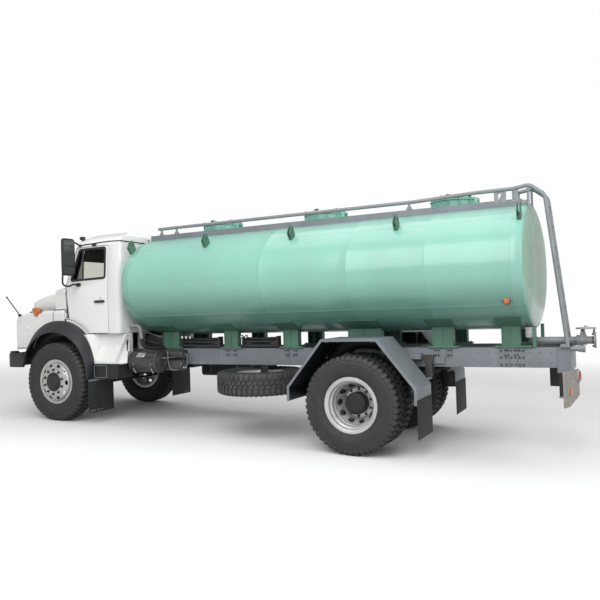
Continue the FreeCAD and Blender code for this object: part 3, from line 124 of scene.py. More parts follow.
def lathe(profile, centre, axis="Y", steps=64, closed=False, half_turn=0.0):
    """A profile of (distance, radius) turned about an axis: radius times cosine and sine of the angle."""
    prof = np.asarray(profile, float)
    angle = (np.arange(steps) + half_turn) * 2 * np.pi / steps
    r, s = prof[:, 1][None, :], prof[:, 0][None, :]
    grid = along(axis, s, r * np.cos(angle)[:, None], r * np.sin(angle)[:, None]) + np.asarray(centre, float)
    return sheet(grid, True, closed)


def rod(a, b, r, sides=16, lip=0.0):
    """A cylinder between two points, its end edges drawn in by lip."""
    a, b = np.asarray(a, float), np.asarray(b, float)
    d = b - a
    n = np.linalg.norm(d)
    d = d / n
    ref = np.array([0.0, 0, 1]) if abs(d[2]) < 0.9 else np.array([1.0, 0, 0])
    u = np.cross(d, ref)
    u /= np.linalg.norm(u)
    v = np.cross(d, u)
    prof = np.array([(0, 0), (0, r - lip), (lip, r), (n - lip, r), (n, r - lip), (n, 0)])
    angle = np.arange(sides) * 2 * np.pi / sides
    ring = u * np.cos(angle)[:, None] + v * np.sin(angle)[:, None]
    grid = a + d * prof[:, 0][None, :, None] + ring[:, None, :] * prof[:, 1][None, :, None]
    return sheet(grid, True, False)


def rounded(path, bend, steps=6):
    """The path with each inner corner replaced by a curve that leaves each run at the bend's distance."""
    p = np.asarray(path, float)
    if bend <= 0 or len(p) < 3:
        return p
    before, corner, after = p[:-2], p[1:-1], p[2:]
    d0, d1 = before - corner, after - corner
    l0 = np.linalg.norm(d0, axis=1, keepdims=True)
    l1 = np.linalg.norm(d1, axis=1, keepdims=True)
    k = np.minimum(bend, np.minimum(l0, l1) * 0.49)
    a, b = corner + d0 / l0 * k, corner + d1 / l1 * k
    t = np.linspace(0, 1, steps)[None, :, None]
    curve = a[:, None] * (1 - t) ** 2 + 2 * corner[:, None] * t * (1 - t) + b[:, None] * t ** 2
    return np.concatenate([p[:1], curve.reshape(-1, 3), p[-1:]])


def tube(path, r, sides=12, bend=0.0, ref=(0, 1, 0), steps=6):
    """A round tube carried along a path; each ring stands square to the mean direction of its two runs."""
    p = rounded(path, bend, steps)
    step = np.diff(p, axis=0)
    step /= np.linalg.norm(step, axis=1, keepdims=True) + 1e-9
    t = np.concatenate([step[:1], step[:-1] + step[1:], step[-1:]])
    t /= np.linalg.norm(t, axis=1, keepdims=True)
    u = np.cross(t, np.asarray(ref, float))
    u /= np.linalg.norm(u, axis=1, keepdims=True)
    v = np.cross(t, u)
    angle = np.arange(sides) * 2 * np.pi / sides
    ring = u[:, None] * np.cos(angle)[None, :, None] + v[:, None] * np.sin(angle)[None, :, None]
    grid = p[:, None] + ring * r
    grid = np.concatenate([np.repeat(p[:1, None], sides, 1), grid, np.repeat(p[-1:, None], sides, 1)])
    return sheet(grid, False, True)


def prism(outline, lo, hi, axis="Y"):
    """A flat outline swept straight from lo to hi along an axis, closed by its two ends."""
    o = np.asarray(outline, float)
    n = len(o)
    pts = np.concatenate([along(axis, np.full(n, float(s)), o[:, 0], o[:, 1]) for s in (lo, hi)])
    i = np.arange(n)
    side = np.stack([i, (i + 1) % n, (i + 1) % n + n, i + n], -1)
    return pts, [side, i[None, ::-1], i[None] + n]


def boxes(*rows):
    """Boxes from rows of (x0, x1, y0, y1, z0, z1)."""
    r = np.asarray(rows, float).reshape(-1, 6)
    pick = np.array([[0, 2, 4], [1, 2, 4], [1, 3, 4], [0, 3, 4], [0, 2, 5], [1, 2, 5], [1, 3, 5], [0, 3, 5]])
    pts = r[:, pick].reshape(-1, 3)
    cell = np.array([[0, 3, 2, 1], [4, 5, 6, 7], [0, 1, 5, 4], [1, 2, 6, 5], [2, 3, 7, 6], [3, 0, 4, 7]])
    return pts, [(cell[None] + 8 * np.arange(len(r))[:, None, None]).reshape(-1, 4)]


def repeated(shell, moved):
    """Copies of a shell whose points are given as an array (copy, point, 3)."""
    pts, faces = shell
    n = len(pts)
    base = n * np.arange(len(moved))[:, None, None]
    return moved.reshape(-1, 3), [(f[None] + base).reshape(-1, f.shape[1]) for f in faces]


def row_of(shell, offsets):
    """The shell repeated at each offset."""
    return repeated(shell, shell[0][None] + np.asarray(offsets, float)[:, None])


def ring_of(shell, centre, axis, count, phase=0.0):
    """The shell repeated round an axis through centre, by turning it in equal steps."""
    a = (np.arange(count) + phase) * 2 * np.pi / count
    p = shell[0] - np.asarray(centre, float)
    i, j = {"X": (1, 2), "Y": (0, 2), "Z": (0, 1)}[axis]
    out = np.repeat(p[None], count, 0)
    c, s = np.cos(a)[:, None], np.sin(a)[:, None]
    out[..., i] = p[None, :, i] * c - p[None, :, j] * s
    out[..., j] = p[None, :, i] * s + p[None, :, j] * c
    return repeated(shell, out + np.asarray(centre, float))


def level_bar(plan, thick, low, high, bend, power=0.3):
    """A level bar along a path in plan: its section is a rounded box, its half sizes times a power of the
    cosine and sine, and three smaller rings close each end."""
    p = rounded(np.column_stack([plan, np.zeros(len(plan))]), bend, 9)[:, :2]
    step = np.diff(p, axis=0)
    step /= np.linalg.norm(step, axis=1, keepdims=True)
    t = np.vstack([step[:1], step[:-1] + step[1:], step[-1:]])
    t /= np.linalg.norm(t, axis=1, keepdims=True)
    tip = np.array([(1.0, 0.0), (0.93, 0.55), (0.72, 0.9), (0.0, 1.0)])
    p = np.vstack([p[0] - t[0] * thick / 2 * tip[:0:-1, 1:], p, p[-1] + t[-1] * thick / 2 * tip[1:, 1:]])
    size = np.concatenate([tip[:0:-1, 0], np.ones(len(t)), tip[1:, 0]])[:, None]
    t = np.vstack([np.repeat(t[:1], 3, 0), t, np.repeat(t[-1:], 3, 0)])
    angle = np.arange(32)[None] * 2 * np.pi / 32
    across = np.sign(np.cos(angle)) * np.abs(np.cos(angle)) ** power * thick / 2 * size
    up = np.sign(np.sin(angle)) * np.abs(np.sin(angle)) ** power * (high - low) / 2
    up = up * np.maximum(size, 0.0) ** 0.35
    return sheet(np.stack([p[:, :1] + t[:, 1:] * across, p[:, 1:] - t[:, :1] * across,
                           (low + high) / 2 + up], -1), False, True)


def mirrored(shells):
    """The shells and their copies on the truck's other side."""
    flip = np.array([1.0, -1, 1])
    return list(shells) + [(p * flip, f) for p, f in shells]


def turned(shells, centre, axis, degrees):
    """The shells turned about an axis through centre."""
    a = math.radians(degrees)
    i, j = {"X": (1, 2), "Y": (2, 0), "Z": (0, 1)}[axis]
    c0 = np.asarray(centre, float)
    out = []
    for p, f in shells:
        q = p - c0
        r = q.copy()
        r[:, i] = q[:, i] * math.cos(a) - q[:, j] * math.sin(a)
        r[:, j] = q[:, i] * math.sin(a) + q[:, j] * math.cos(a)
        out.append((r + c0, f))
    return out


def bolt(at, axis, r, h, sides=6):
    """A bolt head: a hexagon with its outer edge drawn in."""
    prof = [(0, 0), (0, r), (h * 0.75, r), (h, r * 0.82), (h, 0)]
    return lathe(prof, at, axis, sides)


def loop_of(corners, bend, steps=5):
    """A closed path through the corners, each rounded by a curve that leaves its runs at the bend."""
    p = np.asarray(corners, float)
    before, after = np.roll(p, 1, 0) - p, np.roll(p, -1, 0) - p
    lb = np.linalg.norm(before, axis=1, keepdims=True)
    la = np.linalg.norm(after, axis=1, keepdims=True)
    k = np.minimum(bend, np.minimum(lb, la) * 0.49)
    a, b = p + before / lb * k, p + after / la * k
    t = np.linspace(0, 1, steps)[None, :, None]
    return (a[:, None] * (1 - t) ** 2 + 2 * p[:, None] * t * (1 - t) + b[:, None] * t ** 2).reshape(-1, 2)


def grown(loop, by):
    """The closed path moved outwards along the mean of its two runs' normals."""
    step = np.roll(loop, -1, 0) - loop
    n = np.stack([step[:, 1], -step[:, 0]], -1)
    n /= np.linalg.norm(n, axis=1, keepdims=True) + 1e-9
    mean = n + np.roll(n, 1, 0)
    mean /= np.linalg.norm(mean, axis=1, keepdims=True) + 1e-9
    area = (loop[:, 0] * np.roll(loop[:, 1], -1) - np.roll(loop[:, 0], -1) * loop[:, 1]).sum()
    return loop + mean * by * np.sign(area)


def band(loop, rows, skin):
    """A strip carried round a closed path in X and Z: its section is rows of (outward distance, height over
    the skin), and skin gives how far the surface is from the middle plane at each Z."""
    rings = []
    for out, proud in rows:
        at = grown(loop, out)
        rings.append(np.stack([at[:, 0], -(skin(at[:, 1]) + proud), at[:, 1]], -1))
    return sheet(np.stack(rings), True, True)


def hoop(loop, x0, x1, thick):
    """A strap round a closed path in Y and Z: four edges, two on the path and two lifted by the thickness."""
    rings = [np.column_stack([np.full(len(loop), x), grown(loop, d)]) for x, d in
             ((x0, 0), (x0, thick), (x1, thick), (x1, 0))]
    return sheet(np.stack(rings), True, True)


def blob(centre, half, power=0.5, nu=14, nv=24):
    """A rounded body: each half size times a power of the sines and cosines of a ball's two angles."""
    lat = np.linspace(-np.pi / 2, np.pi / 2, nu)[:, None]
    lon = (np.arange(nv) * 2 * np.pi / nv)[None]

    def soft(v):
        """The power of a value, with its sign kept."""
        return np.sign(v) * np.abs(v) ** power

    p = np.stack([soft(np.cos(lat)) * soft(np.cos(lon)), soft(np.cos(lat)) * soft(np.sin(lon)),
                  soft(np.sin(lat)) + 0 * lon], -1)
    return sheet(p * np.asarray(half, float) + np.asarray(centre, float), False, True)


def handed(shells, s):
    """Shells drawn for the left side, turned over to the right where s is 1."""
    return [(p * np.array([1.0, -s, 1]), f) for p, f in shells]


def holed(outline, hole, at, depth_of, nv=4):
    """A plate round a hole: rings from the hole's edge out to the outline, both met at equal angles."""
    o = np.asarray(outline, float)
    c = np.asarray(at, float)
    angle = np.arctan2(o[:, 1] - c[1], o[:, 0] - c[0])
    inner = c + np.stack([np.cos(angle), np.sin(angle)], -1) * np.asarray(hole, float)
    v = np.linspace(0, 1, nv)[:, None, None]
    flat = inner[None] * (1 - v) + o[None] * v
    return sheet(depth_of(flat[..., 0], flat[..., 1]), False, True)


# Meshes and pieces

def new_mesh(name, shells, raked=True):
    """Puts the shells into one mesh, merges what touches and turns all faces outwards."""
    points, loops, sizes, base = [], [], [], 0
    for pts, faces in shells:
        points.append(pts)
        for f in faces:
            loops.append((f + base).ravel())
            sizes.append(np.full(len(f), f.shape[1]))
        base += len(pts)
    co = place(np.concatenate(points), raked)
    loops, sizes = np.concatenate(loops), np.concatenate(sizes)
    mesh = bpy.data.meshes.new(name)
    mesh.vertices.add(len(co))
    mesh.vertices.foreach_set("co", co.ravel())
    mesh.loops.add(len(loops))
    mesh.loops.foreach_set("vertex_index", loops.astype(np.int32))
    mesh.polygons.add(len(sizes))
    starts = np.concatenate([[0], np.cumsum(sizes)[:-1]])
    mesh.polygons.foreach_set("loop_start", starts.astype(np.int32))
    mesh.update(calc_edges=True)
    mesh.validate()
    bm = bmesh.new()
    bm.from_mesh(mesh)
    bmesh.ops.remove_doubles(bm, verts=bm.verts, dist=2e-5)
    bmesh.ops.recalc_face_normals(bm, faces=bm.faces)
    bm.to_mesh(mesh)
    bm.free()
    return mesh


def cad_copy(node, merge=2e-5, flat=1.0):
    """A merged copy of a node's mesh with its flat triangles joined into faces."""
    mesh = frame["nodes"][node].data.copy()
    bm = bmesh.new()
    bm.from_mesh(mesh)
    bmesh.ops.remove_doubles(bm, verts=bm.verts, dist=merge)
    bmesh.ops.dissolve_limit(bm, angle_limit=math.radians(flat), verts=bm.verts, edges=bm.edges,
                             delimit={"NORMAL"})
    bm.to_mesh(mesh)
    bm.free()
    return mesh


def piece(name, shape, finish, body="chassis", bevel=0.0, raked=True, stands_for=(), smooth=38,
          wall=0.0, turns=2):
    """Makes an object of shells or a mesh, gives it its finish and edges, and lets it ride on its body."""
    mesh = shape if isinstance(shape, bpy.types.Mesh) else new_mesh(name, shape, raked)
    mesh.name = name
    mesh.materials.clear()
    mesh.materials.append(finish)
    mesh.polygons.foreach_set("use_smooth", np.ones(len(mesh.polygons), bool))
    if not bevel:
        mesh.set_sharp_from_angle(angle=math.radians(smooth))
    obj = bpy.data.objects.new(name, mesh)
    bpy.context.scene.collection.objects.link(obj)
    if wall:
        mod = obj.modifiers.new("Wall", "SOLIDIFY")
        mod.thickness = wall * MM
        mod.offset = -1.0
    if bevel:
        mod = obj.modifiers.new("Edges", "BEVEL")
        mod.width = bevel * MM
        mod.segments = turns
        mod.limit_method = "ANGLE"
        mod.angle_limit = math.radians(32)
        mod.harden_normals = True
        mod.use_clamp_overlap = True
    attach(obj, body)
    if stands_for:
        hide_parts(*stands_for)
    return obj


def dressed(node, finish):
    """Gives a node that keeps its own mesh a finish."""
    obj = frame["nodes"][node]
    obj.data.materials.clear()
    obj.data.materials.append(finish)
    return obj


# Finishes

def add_node(tree, kind, **values):
    """A node with its properties and unlinked inputs set."""
    node = tree.nodes.new(kind)
    for key, value in values.items():
        if key in node.inputs:
            node.inputs[key].default_value = value
        else:
            setattr(node, key, value)
    return node


def noise_of(tree, vector, scale, detail=4.0, stretch=None, low=0.35, high=0.65):
    """Noise on Object coordinates, spread to the full range from 0 to 1."""
    if stretch:
        mapping = add_node(tree, "ShaderNodeMapping")
        mapping.inputs["Scale"].default_value = stretch
        tree.links.new(vector, mapping.inputs["Vector"])
        vector = mapping.outputs["Vector"]
    noise = add_node(tree, "ShaderNodeTexNoise", Scale=scale, Detail=detail)
    tree.links.new(vector, noise.inputs["Vector"])
    spread = add_node(tree, "ShaderNodeMapRange")
    spread.inputs["From Min"].default_value = low
    spread.inputs["From Max"].default_value = high
    tree.links.new(noise.outputs["Fac"], spread.inputs["Value"])
    return spread.outputs["Result"]


def scaled(tree, value, lo, hi):
    """Maps 0..1 to lo..hi."""
    node = add_node(tree, "ShaderNodeMapRange")
    node.inputs["To Min"].default_value = lo
    node.inputs["To Max"].default_value = hi
    tree.links.new(value, node.inputs["Value"])
    return node.outputs["Result"]


def ramp_of(tree, value, start, end):
    """0 at start, 1 at end, and straight between them."""
    node = add_node(tree, "ShaderNodeMapRange")
    low, high = min(start, end), max(start, end)
    node.inputs["From Min"].default_value = low
    node.inputs["From Max"].default_value = high
    node.inputs["To Min"].default_value = float(start > end)
    node.inputs["To Max"].default_value = float(start < end)
    tree.links.new(value, node.inputs["Value"])
    return node.outputs["Result"]


def reach_of(tree, coord):
    """How far a point lies behind the front axle along the raked frame, in metres."""
    along_frame = add_node(tree, "ShaderNodeVectorMath", operation="DOT_PRODUCT")
    along_frame.inputs[1].default_value = (RAKE_COS, 0, RAKE_SIN)
    tree.links.new(coord, along_frame.inputs[0])
    shift = add_node(tree, "ShaderNodeMath", operation="SUBTRACT")
    shift.inputs[1].default_value = AXLE_X * RAKE_COS + WHEEL_Z * RAKE_SIN
    tree.links.new(along_frame.outputs["Value"], shift.inputs[0])
    return shift.outputs[0]


def product(tree, a, b):
    """One value times another value or a number."""
    node = add_node(tree, "ShaderNodeMath", operation="MULTIPLY")
    tree.links.new(a, node.inputs[0])
    if isinstance(b, float):
        node.inputs[1].default_value = b
    else:
        tree.links.new(b, node.inputs[1])
    return node.outputs[0]


def blended(tree, factor, a, b):
    """Mixes two colours; either may be a fixed colour or another node's output."""
    node = add_node(tree, "ShaderNodeMix", data_type="RGBA")
    for socket, value in ((node.inputs[6], a), (node.inputs[7], b)):
        if isinstance(value, bpy.types.NodeSocket):
            tree.links.new(value, socket)
        else:
            socket.default_value = (*value, 1.0)
    tree.links.new(factor, node.inputs[0])
    return node.outputs[2]


def new_finish(name):
    """A new material with its node tree, its shader and its Object coordinates."""
    mat = bpy.data.materials.new(name)
    mat.use_nodes = True
    tree = mat.node_tree
    shader = tree.nodes["Principled BSDF"]
    coord = add_node(tree, "ShaderNodeTexCoord").outputs["Object"]
    return mat, tree, shader, coord


def bumped(tree, shader, height, strength, distance):
    """Lets a height between 0 and 1 bend the shader's normal."""
    node = add_node(tree, "ShaderNodeBump", Strength=strength, Distance=distance)
    tree.links.new(height, node.inputs["Height"])
    tree.links.new(node.outputs["Normal"], shader.inputs["Normal"])


def coated(name, colour, tone, rough=(0.3, 0.45), metal=0.0, scale=1.6, fine=90.0, bump=0.03, dust=0.0,
           dust_colour=(0.36, 0.33, 0.28), dust_to=1.4, coat=0.0, streaks=0.0, spread=0.6, lining=None):
    """Painted or plain surface: colour drifts to tone in patches, dust gathers low down, roughness varies,
    and the faces marked as inner take the lining's colour."""
    mat, tree, shader, coord = new_finish(name)
    patch = noise_of(tree, coord, scale, 5.0)
    out = blended(tree, product(tree, patch, spread), colour, tone)
    if streaks:
        run = noise_of(tree, coord, 1.0, 6.0, (9.0, 9.0, 0.7), 0.45, 0.75)
        out = blended(tree, product(tree, run, streaks), out, tuple(c * 0.55 for c in colour))
    if dust:
        split = add_node(tree, "ShaderNodeSeparateXYZ")
        tree.links.new(coord, split.inputs[0])
        low = add_node(tree, "ShaderNodeMapRange")
        low.inputs["From Min"].default_value = 0.1
        low.inputs["From Max"].default_value = dust_to
        low.inputs["To Min"].default_value = 1.0
        low.inputs["To Max"].default_value = 0.0
        tree.links.new(split.outputs["Z"], low.inputs["Value"])
        grains = noise_of(tree, coord, 7.0, 8.0, None, 0.3, 0.8)
        out = blended(tree, product(tree, product(tree, low.outputs["Result"], grains), dust), out,
                      dust_colour)
    if lining:
        inner = add_node(tree, "ShaderNodeAttribute", attribute_name="inner")
        out = blended(tree, inner.outputs["Fac"], out, lining)
    tree.links.new(out, shader.inputs["Base Color"])
    grain = noise_of(tree, coord, fine, 3.0)
    tree.links.new(scaled(tree, grain, *rough), shader.inputs["Roughness"])
    shader.inputs["Metallic"].default_value = metal
    shader.inputs["Coat Weight"].default_value = coat
    shader.inputs["Coat Roughness"].default_value = 0.12
    bumped(tree, shader, grain, bump, 0.002)
    return mat


def tank_paint(colour):
    """Gloss mint paint over rolled sheet: slow waves in the sheet, faint rain marks, a painted shade that
    darkens the lower half for the dark ground it would reflect, and a duller beige rear end that is partly
    dust and partly a painted reflection."""
    mat, tree, shader, coord = new_finish("tank_mint_paint")
    patch = noise_of(tree, coord, 0.8, 5.0)
    out = blended(tree, product(tree, patch, 0.45), colour, tuple(c * 0.86 for c in colour))
    run = noise_of(tree, coord, 1.0, 7.0, (7.0, 3.0, 0.6), 0.48, 0.8)
    out = blended(tree, product(tree, run, 0.22), out, (0.28, 0.42, 0.34))
    split = add_node(tree, "ShaderNodeSeparateXYZ")
    tree.links.new(coord, split.inputs[0])
    # Painted shade: from the tank's middle down, the paint is blended towards a dark green that stands in for
    # the dark ground reflected there.
    painted_shade_fac = ramp_of(tree, split.outputs["Z"], *LOWER_HALF_PAINTED_SHADE)
    painted_ground_shade = noise_of(tree, coord, 2.2, 6.0, None, 0.2, 0.7)
    painted_ground_shade = product(tree, painted_shade_fac, scaled(tree, painted_ground_shade, 0.55, 0.85))
    out = blended(tree, painted_ground_shade, out, (0.055, 0.20, 0.145))
    # Partly dust and partly a painted reflection: the rear end is blended to a dull beige green, the beige
    # that the rear head reflects.
    rear = ramp_of(tree, reach_of(tree, coord), (TANK_REAR + 12) * MM, (TANK_REAR + 32) * MM)
    film = noise_of(tree, coord, 3.0, 6.0, None, 0.25, 0.75)
    film = scaled(tree, film, 0.35, 0.7)
    out = blended(tree, product(tree, rear, film), out, (0.34, 0.40, 0.30))
    tree.links.new(out, shader.inputs["Base Color"])
    grain = noise_of(tree, coord, 60.0, 3.0)
    tree.links.new(scaled(tree, grain, 0.26, 0.36), shader.inputs["Roughness"])
    shader.inputs["Coat Weight"].default_value = 0.35
    shader.inputs["Coat Roughness"].default_value = 0.1
    slow = noise_of(tree, coord, 1.4, 2.0, (1.0, 1.6, 1.6), 0.2, 0.8)
    bumped(tree, shader, slow, 0.25, 0.02)
    return mat


def tyre_rubber(name, dusty):
    """Rubber: dark on the wall, dusty grey on the tread and in rings, from the mesh's ring attribute."""
    mat, tree, shader, coord = new_finish(name)
    ring = add_node(tree, "ShaderNodeAttribute", attribute_name="ring")
    patch = noise_of(tree, coord, 9.0, 6.0)
    fac = product(tree, ring.outputs["Fac"], scaled(tree, patch, 0.55, 1.0))
    out = blended(tree, fac, (0.027, 0.027, 0.029), dusty)
    tree.links.new(out, shader.inputs["Base Color"])
    grain = noise_of(tree, coord, 160.0, 3.0)
    tree.links.new(scaled(tree, grain, 0.55, 0.8), shader.inputs["Roughness"])
    shader.inputs["Specular IOR Level"].default_value = 0.35
    bumped(tree, shader, grain, 0.12, 0.002)
    return mat


def clear_glass(name, tint, rough=0.02, quarter=None):
    """Clear tinted glass; where quarter gives a colour, the pane ahead of the window's divider takes it, a
    painted shade for the dark cab inside behind that pane.
    """
    mat, tree, shader, coord = new_finish(name)
    film = noise_of(tree, coord, 5.0, 5.0)
    tree.links.new(scaled(tree, film, rough, rough + 0.03), shader.inputs["Roughness"])
    shader.inputs["Base Color"].default_value = (*tint, 1.0)
    if quarter:
        # Painted shade: the pane ahead of the divider is tinted darker, standing in for the shade inside the
        # cab behind it.
        pane = ramp_of(tree, reach_of(tree, coord), (DIVIDER_X + 1) * MM, (DIVIDER_X - 1) * MM)
        tree.links.new(blended(tree, pane, tint, quarter), shader.inputs["Base Color"])
    shader.inputs["Transmission Weight"].default_value = 1.0
    shader.inputs["IOR"].default_value = 1.1
    shader.inputs["Specular IOR Level"].default_value = 0.9
    return mat


def lamp_lens(name, colour):
    """Moulded lens: pressed ribs across a coloured plastic with some light let through."""
    mat, tree, shader, coord = new_finish(name)
    patch = noise_of(tree, coord, 30.0, 2.0)
    tree.links.new(blended(tree, patch, colour, tuple(c * 0.7 for c in colour)), shader.inputs["Base Color"])
    wave = add_node(tree, "ShaderNodeTexWave", Scale=70.0, bands_direction="Z")
    tree.links.new(coord, wave.inputs["Vector"])
    bumped(tree, shader, wave.outputs["Fac"], 0.25, 0.002)
    shader.inputs["Roughness"].default_value = 0.14
    shader.inputs["Transmission Weight"].default_value = 0.15
    shader.inputs["Coat Weight"].default_value = 0.6
    return mat


FINISHES = {}


def all_finishes(paint):
    """Makes every finish once, from the colours in the paint settings."""
    grey, white, mint = tuple(paint.chassis_grey), tuple(paint.cab_white), tuple(paint.tank_mint)
    soil = (0.16, 0.145, 0.125)

    def shade(colour, k):
        """The colour made darker by a factor."""
        return tuple(c * k for c in colour)

    def body_white(name, lining=None):
        """Gloss white of the cab."""
        return coated(name, white, shade(white, 0.95), (0.22, 0.32), 0.0, 0.9, 70.0, 0.015, 0.25, coat=0.4,
                      lining=lining)

    def rail_grey(name, lining=None):
        """Satin grey of the frame, with rain marks."""
        return coated(name, grey, shade(grey, 0.72), (0.38, 0.55), 0.0, 2.2, 60.0, 0.05, 0.35, streaks=0.25,
                      lining=lining)

    FINISHES.update(
        white=body_white("cab_white_paint"),
        lined_white=body_white("cab_white_and_lining", (0.20, 0.20, 0.205)),
        mint=tank_paint(mint),
        mint_plain=coated("fitting_mint_paint", mint, shade(mint, 0.8), (0.3, 0.45), 0.0, 2.5, 60.0, 0.04,
                          0.3, streaks=0.3),
        green=coated("saddle_green_paint", (0.10, 0.24, 0.17), (0.055, 0.12, 0.09), (0.35, 0.55), 0.0,
                     3.0, 60.0, 0.06, 0.35, streaks=0.35),
        grey=rail_grey("chassis_grey_paint"),
        lined_grey=rail_grey("fender_grey_paint", (0.012, 0.016, 0.02)),
        pipe=coated("pipe_grey_paint", (0.27, 0.29, 0.31), (0.20, 0.215, 0.225), (0.35, 0.5), 0.0, 5.0,
                    60.0, 0.05, 0.2, streaks=0.2),
        stone=coated("pale_grey_green_paint", (0.40, 0.43, 0.37), (0.30, 0.32, 0.28), (0.4, 0.6), 0.0,
                     9.0, 60.0, 0.05, 0.2),
        cup=coated("pale_plastic", (0.50, 0.50, 0.48), (0.38, 0.38, 0.36), (0.3, 0.5), 0.0, 12.0, 80.0,
                   0.03),
        dark=coated("underside_black_paint", (0.010, 0.011, 0.013), (0.022, 0.021, 0.020), (0.5, 0.75),
                    0.1, 4.0, 50.0, 0.1, 0.12, dust_colour=soil),
        canister=coated("canister_grey_paint", (0.060, 0.063, 0.068), (0.04, 0.042, 0.045), (0.28, 0.42),
                        0.1, 4.0, 50.0, 0.05, 0.3, dust_colour=soil),
        board=coated("lamp_board_paint", (0.33, 0.31, 0.28), (0.24, 0.23, 0.21), (0.5, 0.7), 0.0, 7.0,
                     60.0, 0.08, 0.2, streaks=0.3),
        iron=coated("cast_iron", (0.06, 0.058, 0.055), (0.10, 0.085, 0.07), (0.5, 0.75), 0.5, 6.0, 90.0,
                    0.2, 0.4, dust_colour=soil),
        plastic=coated("grained_black_plastic", (0.020, 0.021, 0.024), (0.032, 0.033, 0.036), (0.42, 0.6),
                       0.0, 3.0, 220.0, 0.15, 0.15, dust_colour=soil),
        bumper=coated("bumper_black_paint", (0.016, 0.017, 0.019), (0.028, 0.028, 0.03), (0.38, 0.55),
                      0.0, 3.0, 120.0, 0.08, 0.2, dust_colour=soil),
        trim=coated("black_rubber_trim", (0.016, 0.016, 0.017), (0.03, 0.03, 0.03), (0.45, 0.6), 0.0, 5.0,
                    150.0, 0.08),
        silver=coated("rim_silver_paint", (0.60, 0.60, 0.60), (0.42, 0.42, 0.415), (0.3, 0.5), 0.45, 5.0,
                      80.0, 0.06, 0.35, dust_to=1.6, streaks=0.15),
        flap=coated("flap_rubber_sheet", (0.010, 0.013, 0.012), (0.020, 0.026, 0.022), (0.6, 0.85), 0.0,
                    3.0, 120.0, 0.12, 0.22, dust_colour=(0.09, 0.09, 0.08), streaks=0.3),
        bright=coated("bright_steel", (0.62, 0.62, 0.61), (0.45, 0.44, 0.42), (0.2, 0.4), 0.9, 8.0, 70.0,
                      0.05),
        seat=coated("seat_cloth_beige", (0.50, 0.46, 0.38), (0.38, 0.35, 0.29), (0.8, 0.95), 0.0, 14.0,
                    400.0, 0.3),
        cabin=coated("cabin_grey_plastic", (0.11, 0.11, 0.105), (0.08, 0.08, 0.078), (0.5, 0.7), 0.0, 6.0,
                     200.0, 0.12),
        glass=clear_glass("window_glass", (0.74, 0.75, 0.70)),
        # The quarter colour of the door glass is a painted shade for the dark cab inside.
        door_glass=clear_glass("door_window_glass_painted_shade", (0.74, 0.75, 0.70), quarter=(0.20, 0.205, 0.20)),
        mirror=coated("mirror_glass", (0.085, 0.088, 0.09), (0.06, 0.064, 0.064), (0.1, 0.16), 0.0, 3.0,
                      30.0, 0.0, coat=0.5),
        tyre=tyre_rubber("tyre_rubber", (0.085, 0.083, 0.080)),
        red_lens=lamp_lens("red_lamp_lens", (0.45, 0.012, 0.01)),
        amber_lens=lamp_lens("amber_lamp_lens", (0.78, 0.22, 0.02)),
        clear_lens=lamp_lens("clear_lamp_lens", (0.75, 0.76, 0.78)),
    )


# Settings

class TankerPaint(bpy.types.PropertyGroup):
    """The three paints"""
    cab_white: FloatVectorProperty(name="Cab white", description="Colour of the cab, bonnet and steps",
                                   subtype="COLOR", size=3, min=0, max=1, default=(0.88, 0.88, 0.87))
    tank_mint: FloatVectorProperty(name="Tank mint", description="Colour of the tank and its fittings",
                                   subtype="COLOR", size=3, min=0, max=1, default=(0.27, 0.57, 0.47))
    chassis_grey: FloatVectorProperty(name="Chassis grey",
                                      description="Colour of the rails, walkway and fenders",
                                      subtype="COLOR", size=3, min=0, max=1, default=(0.21, 0.235, 0.26))


class TankerWheels(bpy.types.PropertyGroup):
    """Tyres and wheel discs"""
    tyre_radius: FloatProperty(name="Tyre radius", description="Outer radius over the tread blocks",
                               unit="LENGTH", default=WHEEL_Z, min=0.3, max=1.0)
    pitches: IntProperty(name="Tread pitches", description="Tread blocks in each row round the tyre",
                         default=50, min=20, max=90)
    hand_holes: IntProperty(name="Hand holes", description="Holes and nuts in each wheel disc",
                            default=10, min=4, max=16)


class TankerTank(bpy.types.PropertyGroup):
    """The tank's oval, ends and seams"""
    half_width: FloatProperty(name="Half width", description="Half the width of the oval tank",
                              unit="LENGTH", default=1.110, min=0.5, max=1.4)
    half_height: FloatProperty(name="Half height", description="Half the height of the oval tank",
                               unit="LENGTH", default=0.774, min=0.4, max=1.2)
    dish: FloatProperty(name="Dish depth", description="How far each end bulges out",
                        unit="LENGTH", default=0.100, min=0.02, max=0.3)
    bead: FloatProperty(name="Seam height", description="How far the welded seams stand out",
                        unit="LENGTH", default=0.003, min=0.0, max=0.02)


class TankerStage(bpy.types.PropertyGroup):
    """The camera and the light"""
    camera_at: FloatVectorProperty(name="Camera place", description="Where the camera stands",
                                   subtype="TRANSLATION", size=3, default=(4.727, -8.4415, 1.8915))
    camera_yaw: FloatProperty(name="Camera yaw",
                              description="Turn of the camera from straight across the truck",
                              subtype="ANGLE", default=math.radians(26.79))
    lens: FloatProperty(name="Lens", description="Focal length on a 36 mm sensor in millimetres",
                        default=38.557, min=10, max=300)
    world_light: FloatProperty(name="World light", description="Strength of the even light from all round",
                               default=0.5, min=0, max=3)
    key_light: FloatProperty(name="Key light", description="Power of the large lamp overhead in watts",
                             subtype="POWER", default=820.0, min=0, max=5000)


# Wheels

